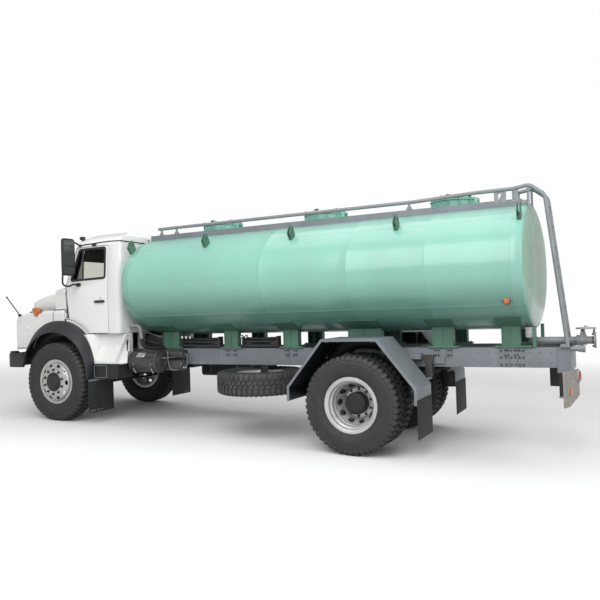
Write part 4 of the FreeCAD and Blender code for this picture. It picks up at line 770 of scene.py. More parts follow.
def tread(radius, pitches):
    """Rows of blocks: two shoulder rows that wrap onto the wall and two staggered middle rows."""
    step = 2 * np.pi / pitches
    lug = np.array([(60, 586), (60, 608), (64, 610), (112, 608.5), (126, 604), (138, 592), (155.5, 556),
                    (150, 548), (120, 580)], float)
    width = np.array([0.66, 0.60, 0.56, 0.56, 0.58, 0.62, 0.60, 0.66, 0.66]) * step / 2
    block = np.array([(4, 586), (4, 609), (54, 609), (54, 586)], float)
    half = np.array([0.36, 0.33, 0.33, 0.36]) * step
    slant = np.array([0.0, 0.0, 0.22, 0.22]) * step
    out = []
    for side in (-1, 1):
        for prof, wide, lean, shift in ((lug, width, 0 * width, 0.25 * side),
                                        (block, half, slant * side, 0.25 + 0.25 * side)):
            mid = (np.arange(pitches) + shift)[:, None, None] * step + lean[None, None, :]
            ang = mid + np.array([-1, 1])[None, :, None] * wide[None, None, :]
            r = prof[None, None, :, 1] * radius / TYRE_R
            across = np.broadcast_to(side * prof[None, None, :, 0], ang.shape)
            pts = np.stack([r * np.cos(ang), across, r * np.sin(ang)], -1)
            n = prof.shape[0]
            i = np.arange(n)
            ring = np.stack([i, (i + 1) % n, (i + 1) % n + n, i + n], -1)
            one = (pts[0].reshape(-1, 3), [ring, i[None], i[None] + n])
            out.append(repeated(one, pts.reshape(pitches, -1, 3)))
    return out


CARCASS = np.array([(-108, 305), (-112, 318), (-109, 338), (-116, 352), (-131, 362), (-141, 382),
                    (-149, 410), (-152, 416), (-154, 440), (-155.5, 466), (-155, 492), (-153, 512),
                    (-153.5, 516), (-151, 520), (-149, 540), (-145, 560), (-137, 580), (-122, 590),
                    (-80, 592), (0, 594)], float)


def tyre(radius, pitches):
    """One tyre about the Y axis: the casing's section turned round the axle, with its tread blocks."""
    half = CARCASS * np.array([1, radius / TYRE_R])
    section = np.concatenate([half, half[-2::-1] * np.array([-1, 1])])
    return [lathe(section, (0, 0, 0), "Y", 120, True)] + tread(radius, pitches)


def moved(shells, to):
    """The shells set off by a distance along each axis."""
    return [(p + np.asarray(to, float), f) for p, f in shells]


def ring_attribute(obj, centres, axis=1):
    """Writes how dusty each point is: little on the wall, more in two wall rings and over the tread."""
    mesh = obj.data
    co = np.empty(len(mesh.vertices) * 3)
    mesh.vertices.foreach_get("co", co)
    co = co.reshape(-1, 3) / MM
    others = [i for i in range(3) if i != axis]
    r = np.linalg.norm(co[:, others] - np.asarray(centres)[None, others], axis=1)
    tone = np.interp(r, [300, 345, 360, 420, 470, 530, 555, 600, 612],
                     [0.9, 0.5, 0.25, 0.35, 0.2, 0.4, 0.55, 0.8, 1.0])
    layer = mesh.attributes.new("ring", "FLOAT", "POINT")
    layer.data.foreach_set("value", tone)


class TANKER_OT_tyres(bpy.types.Operator):
    """Builds the six road tyres and the spare"""
    bl_idname = "tanker.tyres"
    bl_label = "Tyres"

    def execute(self, context):
        wheels = context.scene.tanker_wheels
        one = tyre(wheels.tyre_radius / MM, wheels.pitches)
        for side, s in (("left", -1), ("right", 1)):
            obj = piece("front_tyre_tread_" + side, moved(one, (0, s * FRONT_Y, HUB_Z)),
                        FINISHES["tyre"], "front_wheel_" + side, raked=False,
                        stands_for=("front_tyre_" + side,))
            ring_attribute(obj, (AXLE_X / MM, 0, HUB_Z))
            twins = moved(one, (WHEELBASE, s * TWIN_OUT, HUB_Z)) + moved(one, (WHEELBASE, s * TWIN_IN, HUB_Z))
            obj = piece("rear_tyre_treads_" + side, twins, FINISHES["tyre"], "rear_wheels_" + side,
                        raked=False, stands_for=("rear_tyres_" + side,))
            ring_attribute(obj, (REAR_X / MM, 0, HUB_Z))
        flat = [(p[:, [0, 2, 1]], f) for p, f in one]
        obj = piece("spare_tyre_tread", moved(flat, SPARE_AT), FINISHES["tyre"],
                    stands_for=("spare_tyre",))
        up = place([SPARE_AT])[0] / MM
        ring_attribute(obj, up, axis=2)
        return {"FINISHED"}


BARREL = np.array([(-122, 345), (-116, 349), (-110, 346), (-108, 338), (-108, 306), (-68, 305), (-48, 283),
                   (48, 283), (68, 305), (108, 306), (108, 338), (110, 346), (116, 349), (122, 345),
                   (124, 338), (118, 318), (112, 298), (104, 293), (72, 293), (52, 271), (-52, 271),
                   (-72, 293), (-104, 293), (-112, 298), (-118, 318), (-124, 338)], float)
FRONT_DISC = np.array([(205, 164.5), (215, 164), (235, 158), (262, 150), (284, 140), (292, 128), (296, 112)])
REAR_DISC = np.array([(186, -172), (196, -160), (206, -138), (222, -112), (245, -78), (262, -52),
                      (272, -30), (272, -12)], float)


def disc_with_holes(curve, count, hole_at, hole):
    """A wheel disc: its depth follows the curve over the radius, and each equal sector has a hole."""
    step = 2 * np.pi / count
    r0, r1 = curve[0, 0], curve[-1, 0]
    h0, h1 = hole_at - hole[1] - 4, hole_at + hole[1] + 4
    n = 8
    t = np.linspace(0, 1, n, endpoint=False)
    lo, hi = -step / 2, step / 2
    box_a = np.concatenate([lo + (hi - lo) * t, np.full(n, hi), hi - (hi - lo) * t, np.full(n, lo)])
    box_r = np.concatenate([np.full(n, h0), h0 + (h1 - h0) * t, np.full(n, h1), h1 - (h1 - h0) * t])
    ang = np.arctan2((box_r - hole_at) / hole[1], box_a * hole_at / hole[0])
    in_a = np.cos(ang) * hole[0] / hole_at
    in_r = hole_at + np.sin(ang) * hole[1]
    v = np.array([0, 0.15, 0.5, 1.0])[:, None]
    a = in_a[None] * (1 - v) + box_a[None] * v
    r = in_r[None] * (1 - v) + box_r[None] * v

    def on_disc(r, a):
        """The point of the disc at a radius and an angle."""
        return np.stack([r * np.cos(a), np.interp(r, curve[:, 0], curve[:, 1]), r * np.sin(a)], -1)

    patch = sheet(on_disc(r, a), False, True)
    out = [ring_of(patch, (0, 0, 0), "Y", count)]
    turn = np.linspace(0, 2 * np.pi, count * n, endpoint=False)[:, None]
    for a0, a1, steps in ((r0, h0, 5), (h1, r1, 4)):
        rr = np.linspace(a0, a1, steps)[None, :]
        out.append(sheet(on_disc(rr + 0 * turn, turn - step / 2 + 0 * rr), True, False))
    return out


def nuts(radius, depth, count, out_to, phase=0.5):
    """A ring of wheel nuts: a washer, a six-sided nut and the stud's end."""
    at = (radius, depth, 0)
    one = [lathe([(0, 0), (0, 22), (4, 21), (5, 0)], at, "Y", 14),
           bolt((radius, depth + 3, 0), "Y", 17, out_to * 0.62),
           lathe([(0, 0), (0, 9), (out_to - 2, 9), (out_to, 7), (out_to, 0)], at, "Y", 10)]
    return [ring_of(shell, (0, 0, 0), "Y", count, phase) for shell in one]


def mirror_y(shells, s):
    """Shells drawn with Y outwards, turned to face side s."""
    return [(p * np.array([1.0, s, 1]), f) for p, f in shells]


class TANKER_OT_rims(bpy.types.Operator):
    """Builds the wheel rims with their hand holes, nuts and hubs"""
    bl_idname = "tanker.rims"
    bl_label = "Rims"

    def execute(self, context):
        count = context.scene.tanker_wheels.hand_holes
        silver, dark = FINISHES["silver"], FINISHES["dark"]
        barrel = [lathe(BARREL, (0, 0, 0), "Y", 96, True)]
        face = [lathe([(164, 205), (166, 200), (166, 150), (158, 146), (154, 150), (154, 203)], (0, 0, 0),
                      "Y", 60, True)]
        front_hub = [lathe([(96, 120), (150, 148), (172, 146), (178, 140), (179, 112), (196, 106),
                            (202, 98), (203, 60), (198, 54), (198, 0), (96, 0)], (0, 0, 0), "Y", 48)]
        front_hub += [ring_of(bolt((126, 179, 0), "Y", 8, 8), (0, 0, 0), "Y", 8)]
        back_face = [lathe([(-172, 186), (-171, 120), (-184, 120), (-184, 186)], (0, 0, 0), "Y", 60, True)]
        rear_hub = [lathe([(-190, 120), (-163, 138), (-66, 140), (-42, 134), (-26, 112), (-23, 100),
                           (-23, 60), (-30, 54), (-30, 0), (-190, 0)], (0, 0, 0), "Y", 48)]
        rear_hub += [ring_of(bolt((84, -24, 0), "Y", 8, 8), (0, 0, 0), "Y", 8)]
        for side, s in (("left", -1), ("right", 1)):
            to = (0, s * FRONT_Y, HUB_Z)
            wheel = "front_wheel_" + side
            piece("front_rim_barrel_" + side, moved(mirror_y(barrel + face, s), to), silver,
                  wheel, raked=False, stands_for=("front_rim_" + side,))
            disc = moved(mirror_y(disc_with_holes(FRONT_DISC, count, 258, (38, 24)), s), to)
            piece("front_rim_disc_" + side, disc, silver, wheel, raked=False, wall=9)
            piece("front_hub_" + side, moved(mirror_y(front_hub, s), to), FINISHES["trim"], wheel,
                  raked=False)
            piece("front_nuts_" + side, moved(mirror_y(nuts(188, 165, count, 36), s), to),
                  FINISHES["iron"], wheel, raked=False)
            wheel = "rear_wheels_" + side
            to = (WHEELBASE, s * TWIN_OUT, HUB_Z)
            inner = (WHEELBASE, s * TWIN_IN, HUB_Z)
            flip = moved(mirror_y(barrel + back_face, -s), inner)
            piece("rear_rim_barrels_" + side, moved(mirror_y(barrel + back_face, s), to) + flip,
                  silver, wheel, raked=False, stands_for=("rear_rims_" + side,))
            discs = disc_with_holes(REAR_DISC, count, 232, (42, 26))
            both = moved(mirror_y(discs, s), to) + moved(mirror_y(discs, -s), inner)
            piece("rear_rim_discs_" + side, both, silver, wheel, raked=False, wall=9)
            piece("rear_hub_" + side, moved(mirror_y(rear_hub, s), to), dark, wheel, raked=False)
            piece("rear_nuts_" + side, moved(mirror_y(nuts(169, -171, count, 40), s), to),
                  FINISHES["iron"], wheel, raked=False)
        spare = barrel + [lathe([(96, 165), (97, 112), (86, 112), (84, 162)], (0, 0, 0), "Y", 60, True)]
        curve = np.array([(165, 96), (200, 88), (225, 70), (250, 52), (264, 42), (273, 20)], float)
        shapes = [(p[:, [0, 2, 1]], f) for p, f in spare]
        piece("spare_rim_barrel", moved(shapes, SPARE_AT), silver,
              stands_for=("spare_rim",))
        shapes = [(p[:, [0, 2, 1]], f) for p, f in disc_with_holes(curve, count, 232, (27, 21))]
        piece("spare_rim_disc", moved(shapes, SPARE_AT), silver, wall=9)
        return {"FINISHED"}


# Tank

RING_SEAMS = (1470.0, 3710.0, 4950.0, 5940.0, 6900.0)


def tank_point(x, angle, a, b, k=1.0, grow=0.0):
    """The oval: half width and half height times cosine and sine, shrunk by k, plus grow outwards."""
    return np.stack([x + 0 * angle, (a * k + grow) * np.cos(angle),
                     TANK_Z + (b * k + grow) * np.sin(angle)], -1)


def tank_skin(a, b, dish, bead):
    """The tank: an oval carried along X, its size falling to nothing over each end on a flattened dome, with
    raised seams."""
    k = np.concatenate([[0.0], np.linspace(0.08, 0.9, 12), np.linspace(0.92, 1.0, 9)])
    depth = dish * (1 - k ** 3.4) ** 0.62
    seams = np.array(RING_SEAMS)[:, None] + np.array([-11, -6, -2, 2, 6, 11])[None, :]
    body = np.unique(np.concatenate([seams.ravel(), np.linspace(TANK_FRONT, TANK_REAR, 14)]))
    body = body[(body > TANK_FRONT + 1) & (body < TANK_REAR - 1)]
    x = np.concatenate([TANK_FRONT - depth, body, TANK_REAR + depth[::-1]])
    size = np.concatenate([k, np.ones(len(body)), k[::-1]])
    lift = bead * np.exp(-((x[:, None] - np.array(RING_SEAMS)[None]) / 6.0) ** 2).max(1)
    seam_at = np.array([136.5, 322.0, 218.0])
    beside = (seam_at[:, None] + np.array([-0.4, 0, 0.4])[None]).ravel()
    turn = np.radians(np.unique(np.concatenate([np.linspace(0, 360, 180, endpoint=False), beside])))
    ridge = bead * np.exp(-((np.degrees(turn)[:, None] - seam_at[None]) / 0.3) ** 2).max(1)
    grow = np.maximum(lift[:, None], ridge[None, :] * (size[:, None] >= 1))
    grid = tank_point(x[:, None] + 0 * turn[None], turn[None] + 0 * x[:, None], a, b, size[:, None], grow)
    return sheet(grid, False, True)


def lug_plates(x):
    """A lifting lug on the tank's shoulder: two diamond plates with an eye, and a bar between them."""
    corner = np.array([(842, 2748), (860, 2750), (926, 2642), (928, 2626), (862, 2540), (846, 2540),
                       (778, 2612), (776, 2640)], float)
    t = np.linspace(0, 1, 6, endpoint=False)[:, None]
    line = (corner[:, None] * (1 - t[None]) + np.roll(corner, -1, 0)[:, None] * t[None]).reshape(-1, 2)
    out = []
    for at in (x - 17, x + 17):
        out.append(holed(line, 17, (852, 2668), lambda y, z: np.stack([at + 0 * y, y, z], -1)))
    out.append(prism([(800, 2612), (806, 2640), (890, 2580), (872, 2556)], x - 14, x + 14, "X"))
    return out


class TANKER_OT_tank(bpy.types.Operator):
    """Builds the oval tank with its seams and lifting lugs"""
    bl_idname = "tanker.tank"
    bl_label = "Tank"

    def execute(self, context):
        tank = context.scene.tanker_tank
        a, b = tank.half_width / MM, tank.half_height / MM
        skin = tank_skin(a, b, tank.dish / MM, tank.bead / MM)
        piece("tank_skin", [skin], FINISHES["mint"], stands_for=("tank_shell",),
              smooth=50)
        plates = []
        for x in LUG_X:
            plates += lug_plates(x)
        piece("tank_lugs", mirrored(plates), FINISHES["green"], wall=10)
        return {"FINISHED"}


# Top of the tank

class TANKER_OT_walkway(bpy.types.Operator):
    """Builds the coamings, deck strips, collars and lids on top of the tank"""
    bl_idname = "tanker.walkway"
    bl_label = "Walkway and manholes"

    def execute(self, context):
        grey, mint = FINISHES["grey"], FINISHES["mint_plain"]
        y, top = COAMING_Y, COAMING_TOP
        side = [prism([(-y, 2736), (-y, top), (-y + 34, top), (-y + 34, top - 7), (-y + 8, top - 8),
                       (-y + 8, 2736)], 1390, 6960, "X")]
        side.append(boxes((1390, 6960, -y + 8, -340, top - 20, top - 12)))
        side.append(row_of(boxes((0, 6, -y + 8, -342, 2790, top - 20)),
                           [(x, 0, 0) for x in range(1560, 6900, 420)]))
        side.append(row_of(boxes((0, 30, -y - 14, -y, 2752, 2792)), [(x, 0, 0) for x in LUG_X]))
        ends = [boxes((1390, 1398, -y + 8, y - 8, 2770, top), (6952, 6960, -y + 8, y - 8, 2770, top))]
        piece("walkway_coaming", mirrored(side) + ends, grey, bevel=1.2,
              stands_for=("walkway",))
        cell = prism([(-14, 0), (0, -4), (14, 0), (0, 4)], 0, 1.6, "Z")
        xs, ys = np.meshgrid(np.arange(1420.0, 6940.0, 40.0), (-425.0, -400.0, -375.0))
        at = np.stack([xs.ravel(), ys.ravel(), np.full(xs.size, top - 12.2)], -1)
        piece("walkway_treads", mirrored([row_of(cell, at)]), grey)
        collars = []
        for x in COLLAR_X:
            wall = [(2850, 268), (2962, 268), (2962, 300), (2950, 300), (2950, 281), (2720, 281), (2720, 268)]
            collars.append(lathe(wall, (x, 0, 0), "Z", 72, True))
            collars.append(lathe([(2838, 0), (2838, 270), (2846, 270), (2846, 0)], (x, 0, 0), "Z", 48))
            collars.append(boxes((x + 266, x + 326, -70, -45, 2902, 2982),
                                 (x + 266, x + 326, 45, 70, 2902, 2982)))
            collars.append(rod((x + 310, -76, 2966), (x + 310, 76, 2966), 8, 12, 1))
            collars.append(ring_of(boxes((x + 281, x + 299, -4, 4, 2880, 2950)), (x, 0, 0), "Z", 12))
        piece("manhole_rings", collars, mint, bevel=1.5,
              stands_for=("manhole_collars",))
        dome = [(2968, 0), (2968, 262), (2966, 270), (2966, 284), (2970, 290), (2982, 290), (2986, 284),
                (2988, 240), (2996, 200), (3002, 120), (3004, 0)]
        for name, x in zip(("front", "middle", "rear"), COLLAR_X):
            cover = [lathe(dome, (x, 0, 0), "Z", 64)]
            grip = [(x - 150, -60, 2994), (x - 150, -60, 3056), (x - 150, 60, 3056), (x - 150, 60, 2994)]
            cover.append(tube(grip, 8, 10, 22, (1, 0, 0)))
            cover.append(boxes((x + 200, x + 312, -38, 38, 2970, 2988)))
            cover.append(rod((x + 310, -38, 2966), (x + 310, 38, 2966), 18, 16, 2))
            piece("lid_cover_" + name, cover, mint, "lid_" + name, bevel=1.5,
                  stands_for=("lid_" + name,))
            clamp = [boxes((x - 300, x - 262, -12, 12, 2984, 2998), (x - 290, x - 274, -34, 34, 3004, 3016)),
                     lathe([(0, 0), (0, 14), (26, 12), (30, 0)], (x - 282, 0, 2996), "Z", 12)]
            piece("lid_clamps_" + name, [ring_of(c, (x, 0, 0), "Z", 6, 0.5) for c in clamp],
                  FINISHES["iron"], "lid_" + name, bevel=1)
        return {"FINISHED"}


class TANKER_OT_handrail(bpy.types.Operator):
    """Builds the handrail, its posts and the ladder at the rear"""
    bl_idname = "tanker.handrail"
    bl_label = "Handrail and ladder"

    def execute(self, context):
        y = -COAMING_Y + 4
        yf = y + 340
        z, top = PIPE_Z, PIPE_Z + 30
        peak, corner, foot = (7054, z + 59), (7224, z - 74), (7410, RAIL_TOP + 14)
        tail = [(6870, top), peak, corner, foot]
        near = [(1545, y, z), (5650, y, z), (6450, y, top)] + [(a, y, b) for a, b in tail]
        far = [(a, yf, b) for a, b in tail]
        rail = [tube(near, 24, 16, 46), tube(far, 24, 16, 46)]
        for x, head in ((1600, z), (1890, z), (5590, z)):
            rail.append(rod((x, y, COAMING_TOP), (x, y, head), 16, 14))
        for yy in (y, yf):
            rail.append(rod((6885, yy, COAMING_TOP), (6885, yy, top), 16, 14))
            rail.append(rod((7040, yy, 2700), (7040, yy, z + 56), 15, 14))
        rail += [rod((x, y, b), (x, yf, b), 14, 12) for x, b in ((7054, z + 59), (6885, top))]
        u = 0.06 + 0.80 * np.arange(7) / 6
        rungs = np.stack([corner[0] + (foot[0] - corner[0]) * u, 0 * u,
                          corner[1] + (foot[1] - corner[1]) * u], -1)
        rail.append(row_of(rod((0, y, 0), (0, yf, 0), 13, 12), rungs))
        piece("handrail_pipes", rail, FINISHES["pipe"],
              stands_for=("handrail_ladder",))
        feet = [boxes((7370, 7430, y - 30, y + 70, RAIL_TOP, RAIL_TOP + 14),
                      (7370, 7430, yf - 30, yf + 30, RAIL_TOP, RAIL_TOP + 14),
                      (6870, 6900, y, yf + 12, COAMING_TOP, COAMING_TOP + 10),
                      (7330, 7398, y - 18, y + 10, RAIL_TOP, RAIL_TOP + 40),
                      (6648, 6698, y - 5, y + 5, COAMING_TOP - 30, top - 8),
                      (6734, 6789, y - 5, y + 5, COAMING_TOP - 30, top - 8),
                      (6698, 6734, y - 5, y + 5, top - 46, top - 8),
                      (6856, 6930, y - 6, y + 6, COAMING_TOP - 30, top + 6),
                      (6964, 7034, y - 6, y + 4, 2768, 2826))]
        for x in (1600, 1890, 5590, 6740):
            feet.append(prism([(x - 46, COAMING_TOP), (x + 46, COAMING_TOP), (x + 12, COAMING_TOP + 58),
                               (x - 12, COAMING_TOP + 58)], y - 4, y + 4))
        for x in COLLAR_X:
            feet.append(boxes((x - 40, x - 28, -y - 10 - 455, y + 175, 2930, 2942)))
        piece("handrail_feet", feet, FINISHES["pipe"], bevel=1.5)
        return {"FINISHED"}


# Saddles, rails and what hangs on them

class TANKER_OT_saddles(bpy.types.Operator):
    """Builds the saddles between the rails and the tank"""
    bl_idname = "tanker.saddles"
    bl_label = "Tank saddles"

    def execute(self, context):
        tank = context.scene.tanker_tank
        a, b = tank.half_width / MM, tank.half_height / MM
        posts, pads, heads = [], [], []

        def under(y):
            """The height of the tank's underside at a distance from the middle plane."""
            return TANK_Z - b * np.sqrt(1 - (np.asarray(y) / a) ** 2)

        for x0, x1 in SADDLES:
            for xa, xb in ((x0, x0 + 14), (x1 - 14, x1), ((x0 + x1) / 2 - 6, (x0 + x1) / 2 + 6)):
                y = np.linspace(-446, -345, 5)
                crown = list(zip(y[::-1], under(y[::-1]) - 2))
                posts.append(prism([(-446, RAIL_TOP + 14), (-345, RAIL_TOP + 14)] + crown, xa, xb, "X"))
            web = [(x0, RAIL_TOP + 14), (x1, RAIL_TOP + 14), (x1, under(-432) - 2), (x0, under(-432) - 2)]
            posts.append(prism(web, -438, -426))
            reach = 128 if x1 == SADDLES[-1][1] else 60
            pads.append(boxes((x0 - 60, x1 + reach, -460, -335, RAIL_TOP, RAIL_TOP + 22)))
            y = np.linspace(-330, -700, 12)
            z = under(y)
            slope = np.gradient(z, y)
            n = np.stack([slope, -np.ones_like(slope)], -1) / np.sqrt(1 + slope ** 2)[:, None]
            outer = np.stack([y, z], -1) + n * 12
            strip = np.concatenate([np.stack([y, z - 0.5], -1), outer[::-1]])
            posts.append(prism(strip, x0 - 36, x1 + 36, "X"))
            at = [(x, yy, RAIL_TOP + 22) for x in (x0 - 30, x1 + 30) for yy in (-452, -352)]
            heads.append(row_of(bolt((0, 0, 0), "Z", 13, 12), at))
        posts.append(boxes((7030, 7068, -446, -380, RAIL_TOP, 1330)))
        piece("saddle_webs", mirrored(posts), FINISHES["green"], bevel=1.5,
              stands_for=("tank_saddles",))
        piece("saddle_feet", mirrored(pads), FINISHES["green"], bevel=2)
        piece("saddle_bolts", mirrored(heads), FINISHES["iron"])
        return {"FINISHED"}


class TANKER_OT_chassis(bpy.types.Operator):
    """Builds the rails with their bolts, the axles, springs, shaft and engine"""
    bl_idname = "tanker.chassis"
    bl_label = "Chassis"

    def execute(self, context):
        grey, iron, dark = FINISHES["grey"], FINISHES["iron"], FINISHES["dark"]
        piece("rails", cad_copy("frame_rails"), grey, bevel=3,
              stands_for=("frame_rails",))
        piece("cross_beams", cad_copy("crossmembers"), grey, bevel=3,
              stands_for=("crossmembers",))
        y = -RAIL_HALF
        head = lathe([(0, 0), (0, 11), (-7, 10), (-9, 0)], (0, 0, 0), "Y", 10)
        x = np.concatenate([np.arange(1900.0, 2650.0, 150.0), np.arange(6400.0, 7300.0, 118.0)])
        heads = [row_of(head, np.stack([x, np.full(x.size, y), np.full(x.size, z)], -1))
                 for z in (900.0, 1015.0)]
        piece("rail_bolts", mirrored(heads), grey)
        plates = [boxes((6640, 6752, y - 10, y, 846, 1066), (6757, 6846, y - 14, y, 840, 1070),
                        (6851, 6936, y - 10, y, 846, 1066), (4120, 4140, y - 10, y, 850, 1066),
                        (2560, 2572, y - 5, y, 842, 1072), (7290, 7434, y - 6, y, 780, 1074))]
        for x0, x1 in SADDLES:
            plates.append(boxes((x0 + 20, x0 + 90, y - 8, y, 960, 1076),
                                (x1 - 90, x1 - 20, y - 8, y, 960, 1076)))
        piece("rail_plates", mirrored(plates), grey, bevel=2)
        at = [(a, y - 12, z) for a in (6662, 6720, 6780, 6824, 6873, 6915) for z in (872, 958, 1040)]
        at += [(a, y - 8, z) for x0, x1 in SADDLES
               for a in (x0 + 38, x0 + 72, x1 - 72, x1 - 38) for z in (985, 1045)]
        piece("rail_nuts", mirrored([row_of(bolt((0, 0, 0), "Y", 12, -12), at)]), iron)
        for node, name, finish in (("front_axle", "axle_beam", iron), ("rear_axle", "axle_casing", iron),
                                   ("leaf_springs", "spring_leaves", iron),
                                   ("propshaft", "drive_shaft", iron),
                                   ("engine_block", "engine_casing", iron),
                                   ("spare_carrier", "spare_hanger", dark)):
            piece(name, cad_copy(node), finish, bevel=2.5, stands_for=(node,))
        for side in ("left", "right"):
            piece("steering_knuckle_" + side, cad_copy("knuckle_" + side), iron, "knuckle_" + side,
                  bevel=2, stands_for=("knuckle_" + side,))
        piece("track_rod", cad_copy("tie_rod"), iron, "tie_rod", bevel=1.5, stands_for=("tie_rod",))
        clips = []
        for xc, z in ((0, HUB_Z - 20), (WHEELBASE, HUB_Z + 95)):
            for x in (xc - 62, xc + 62):
                clips.append(tube([(x, -520, z - 70), (x, -520, z + 175), (x, -424, z + 175),
                                   (x, -424, z - 70)], 11, 8, 30, (1, 0, 0)))
        piece("spring_clips", mirrored(clips), iron, raked=False)
        return {"FINISHED"}


class TANKER_OT_side_gear(bpy.types.Operator):
    """Builds the air canister, cylinders, hoses and fuel tank beside the rails"""
    bl_idname = "tanker.side_gear"
    bl_label = "Side tanks and hoses"

    def execute(self, context):
        dark, bright, pale = FINISHES["dark"], FINISHES["bright"], FINISHES["pipe"]
        y, z, r = -800, 905, 160
        dish = [(0, 0), (3, 55), (9, 96), (20, 127), (36, 147), (50, 156), (60, 160)]
        end = [(1820 - 0.5 * s, q) for s, q in dish[::-1]]
        can = [lathe([(1250 + s, q) for s, q in dish] + [(1310, 160)] + end, (0, y, z), "X", 56)]
        for x in (1312, 1386, 1720, 1788):
            can.append(lathe([(x, 158), (x, 164), (x + 22, 164), (x + 22, 158)], (0, y, z), "X", 56, True))
        can.append(lathe([(1818, 70), (1824, 74), (1824, 96), (1818, 100)], (0, y, z), "X", 40, True))
        for x1, b, q in ((2075, 1000, 66), (2080, 838, 84)):
            prof = [(1500, 0), (1504, q * 0.6), (1520, q * 0.92), (1534, q), (x1 - 34, q),
                    (x1 - 20, q * 0.92), (x1 - 4, q * 0.6), (x1, 0)]
            can.append(lathe(prof, (0, -590, b), "X", 32))
            can.append(lathe([(x1 - 60, q), (x1 - 60, q + 5), (x1 - 40, q + 5), (x1 - 40, q)], (0, -590, b),
                             "X", 32, True))
        can.append(boxes((1520, 1570, -740, -RAIL_HALF, 885, 925), (1740, 1790, -740, -RAIL_HALF, 885, 925),
                         (1520, 1570, -640, -560, 838, 1000), (1740, 1790, -640, -560, 838, 1000),
                         (1215, 1490, -426, -70, RAIL_TOP, 1290), (1860, 2010, -560, -436, 930, 1060)))
        piece("air_canisters", can, FINISHES["canister"], stands_for=("side_tanks",))
        turn = np.radians(np.linspace(28, 64, 8))[None, :]
        x = np.linspace(1430, 1590, 9)[:, None]
        lift = r + 4 + 2 * np.cos(np.pi * (x - 1510) / 160)
        patch = sheet(np.stack([x + 0 * turn, y - lift * np.cos(turn), z + lift * np.sin(turn)], -1))
        piece("canister_plate", [patch], bright, wall=2)
        ribs = []
        for k in range(9):
            t0, t1 = np.radians((26, 62))
            for x0, x1 in ((1600 + 14 * k, 1600 + 14 * k + 46), (1600 + 14 * k + 46, 1600 + 14 * k)):
                ribs.append(rod((x0, y - 162 * math.cos(t0), z + 162 * math.sin(t0)),
                                (x1, y - 162 * math.cos(t1), z + 162 * math.sin(t1)), 4, 6))
        piece("canister_grip", ribs, dark)
        fittings = [rod((x, y - 158, z - 92), (x, y - 104, z - 160), 9, 10) for x in (1397, 1731)]
        fittings += [blob((x, y - 150, z - 10), (10, 14, 34), 0.7, 8, 12) for x in (1397, 1731)]
        fittings += [blob((2092, yy, 806), (15, 15, 15), 1.0, 8, 12) for yy in (-590, -640)]
        fittings += [blob((x, -452, 1246), (24, 24, 30), 0.8, 8, 12) for x in (1935, 2010, 2085, 3010, 3085)]
        piece("side_fittings", fittings, bright)
        hoses = [tube([(1822, y - 20, 960), (1900, y - 20, 960), (1900, -640, 960), (2080, -600, 960)], 6,
                      8, 40), tube([(1840, -700, 1050), (1850, -700, 880), (1880, -690, 770),
                                    (1990, -660, 770)], 6, 8, 40),
                 tube([(2085, -600, 1000), (2125, -600, 1000), (2125, -600, 838), (2085, -600, 838)], 6, 8,
                      30), tube([(1215, -790, 1448), (1405, -790, 1448), (1425, -790, 1250)], 26, 18, 80),
                 rod((1200, -470, 1352), (1545, -452, 1252), 9, 10)]
        piece("pale_pipes", hoses, pale)
        black = [tube([(1425, -790, 1255), (1430, -780, 1160), (1480, -700, 1100), (1600, -470, 1090)], 29,
                      14, 80), tube([(1240, -440, 1300), (1260, -520, 1240), (1380, -560, 1200),
                                     (1500, -470, 1150)], 22, 10, 60)]
        # Between the saddles: black tubes and boxes on the rails, their black partly a painted shade for the
        # shadow under the tank.
        for x0, x1 in ((1905, 2620), (2990, 3610)):
            for b, q in ((1115, 36), (1178, 26), (1222, 18)):
                black.append(tube([(x0, -395, b), (x0 + 60, -405, b), ((x0 + x1) / 2, -400, b - 8),
                                   (x1, -390, b)], q, 12, 60))
            black.append(boxes((x0 + 10, x0 + 40, -440, -340, RAIL_TOP, 1250),
                               (x1 - 40, x1 - 10, -440, -340, RAIL_TOP, 1250)))
        piece("black_hoses_partly_painted_shade", black, FINISHES["trim"])
        piece("fuel_tank_body", cad_copy("fuel_tank"), dark, bevel=3,
              stands_for=("fuel_tank",))
        section = loop_of([(500, 560), (1040, 560), (1040, 1000), (500, 1000)], 100, 8)
        straps = [hoop(section, x, x + 46, 4) for x in (1760, 2290, 2560)]
        straps.append(lathe([(1046, 0), (1046, 60), (1062, 62), (1066, 54), (1068, 0)], (1850, 890, 0), "Z",
                            28))
        piece("fuel_tank_straps", straps, FINISHES["canister"])
        return {"FINISHED"}


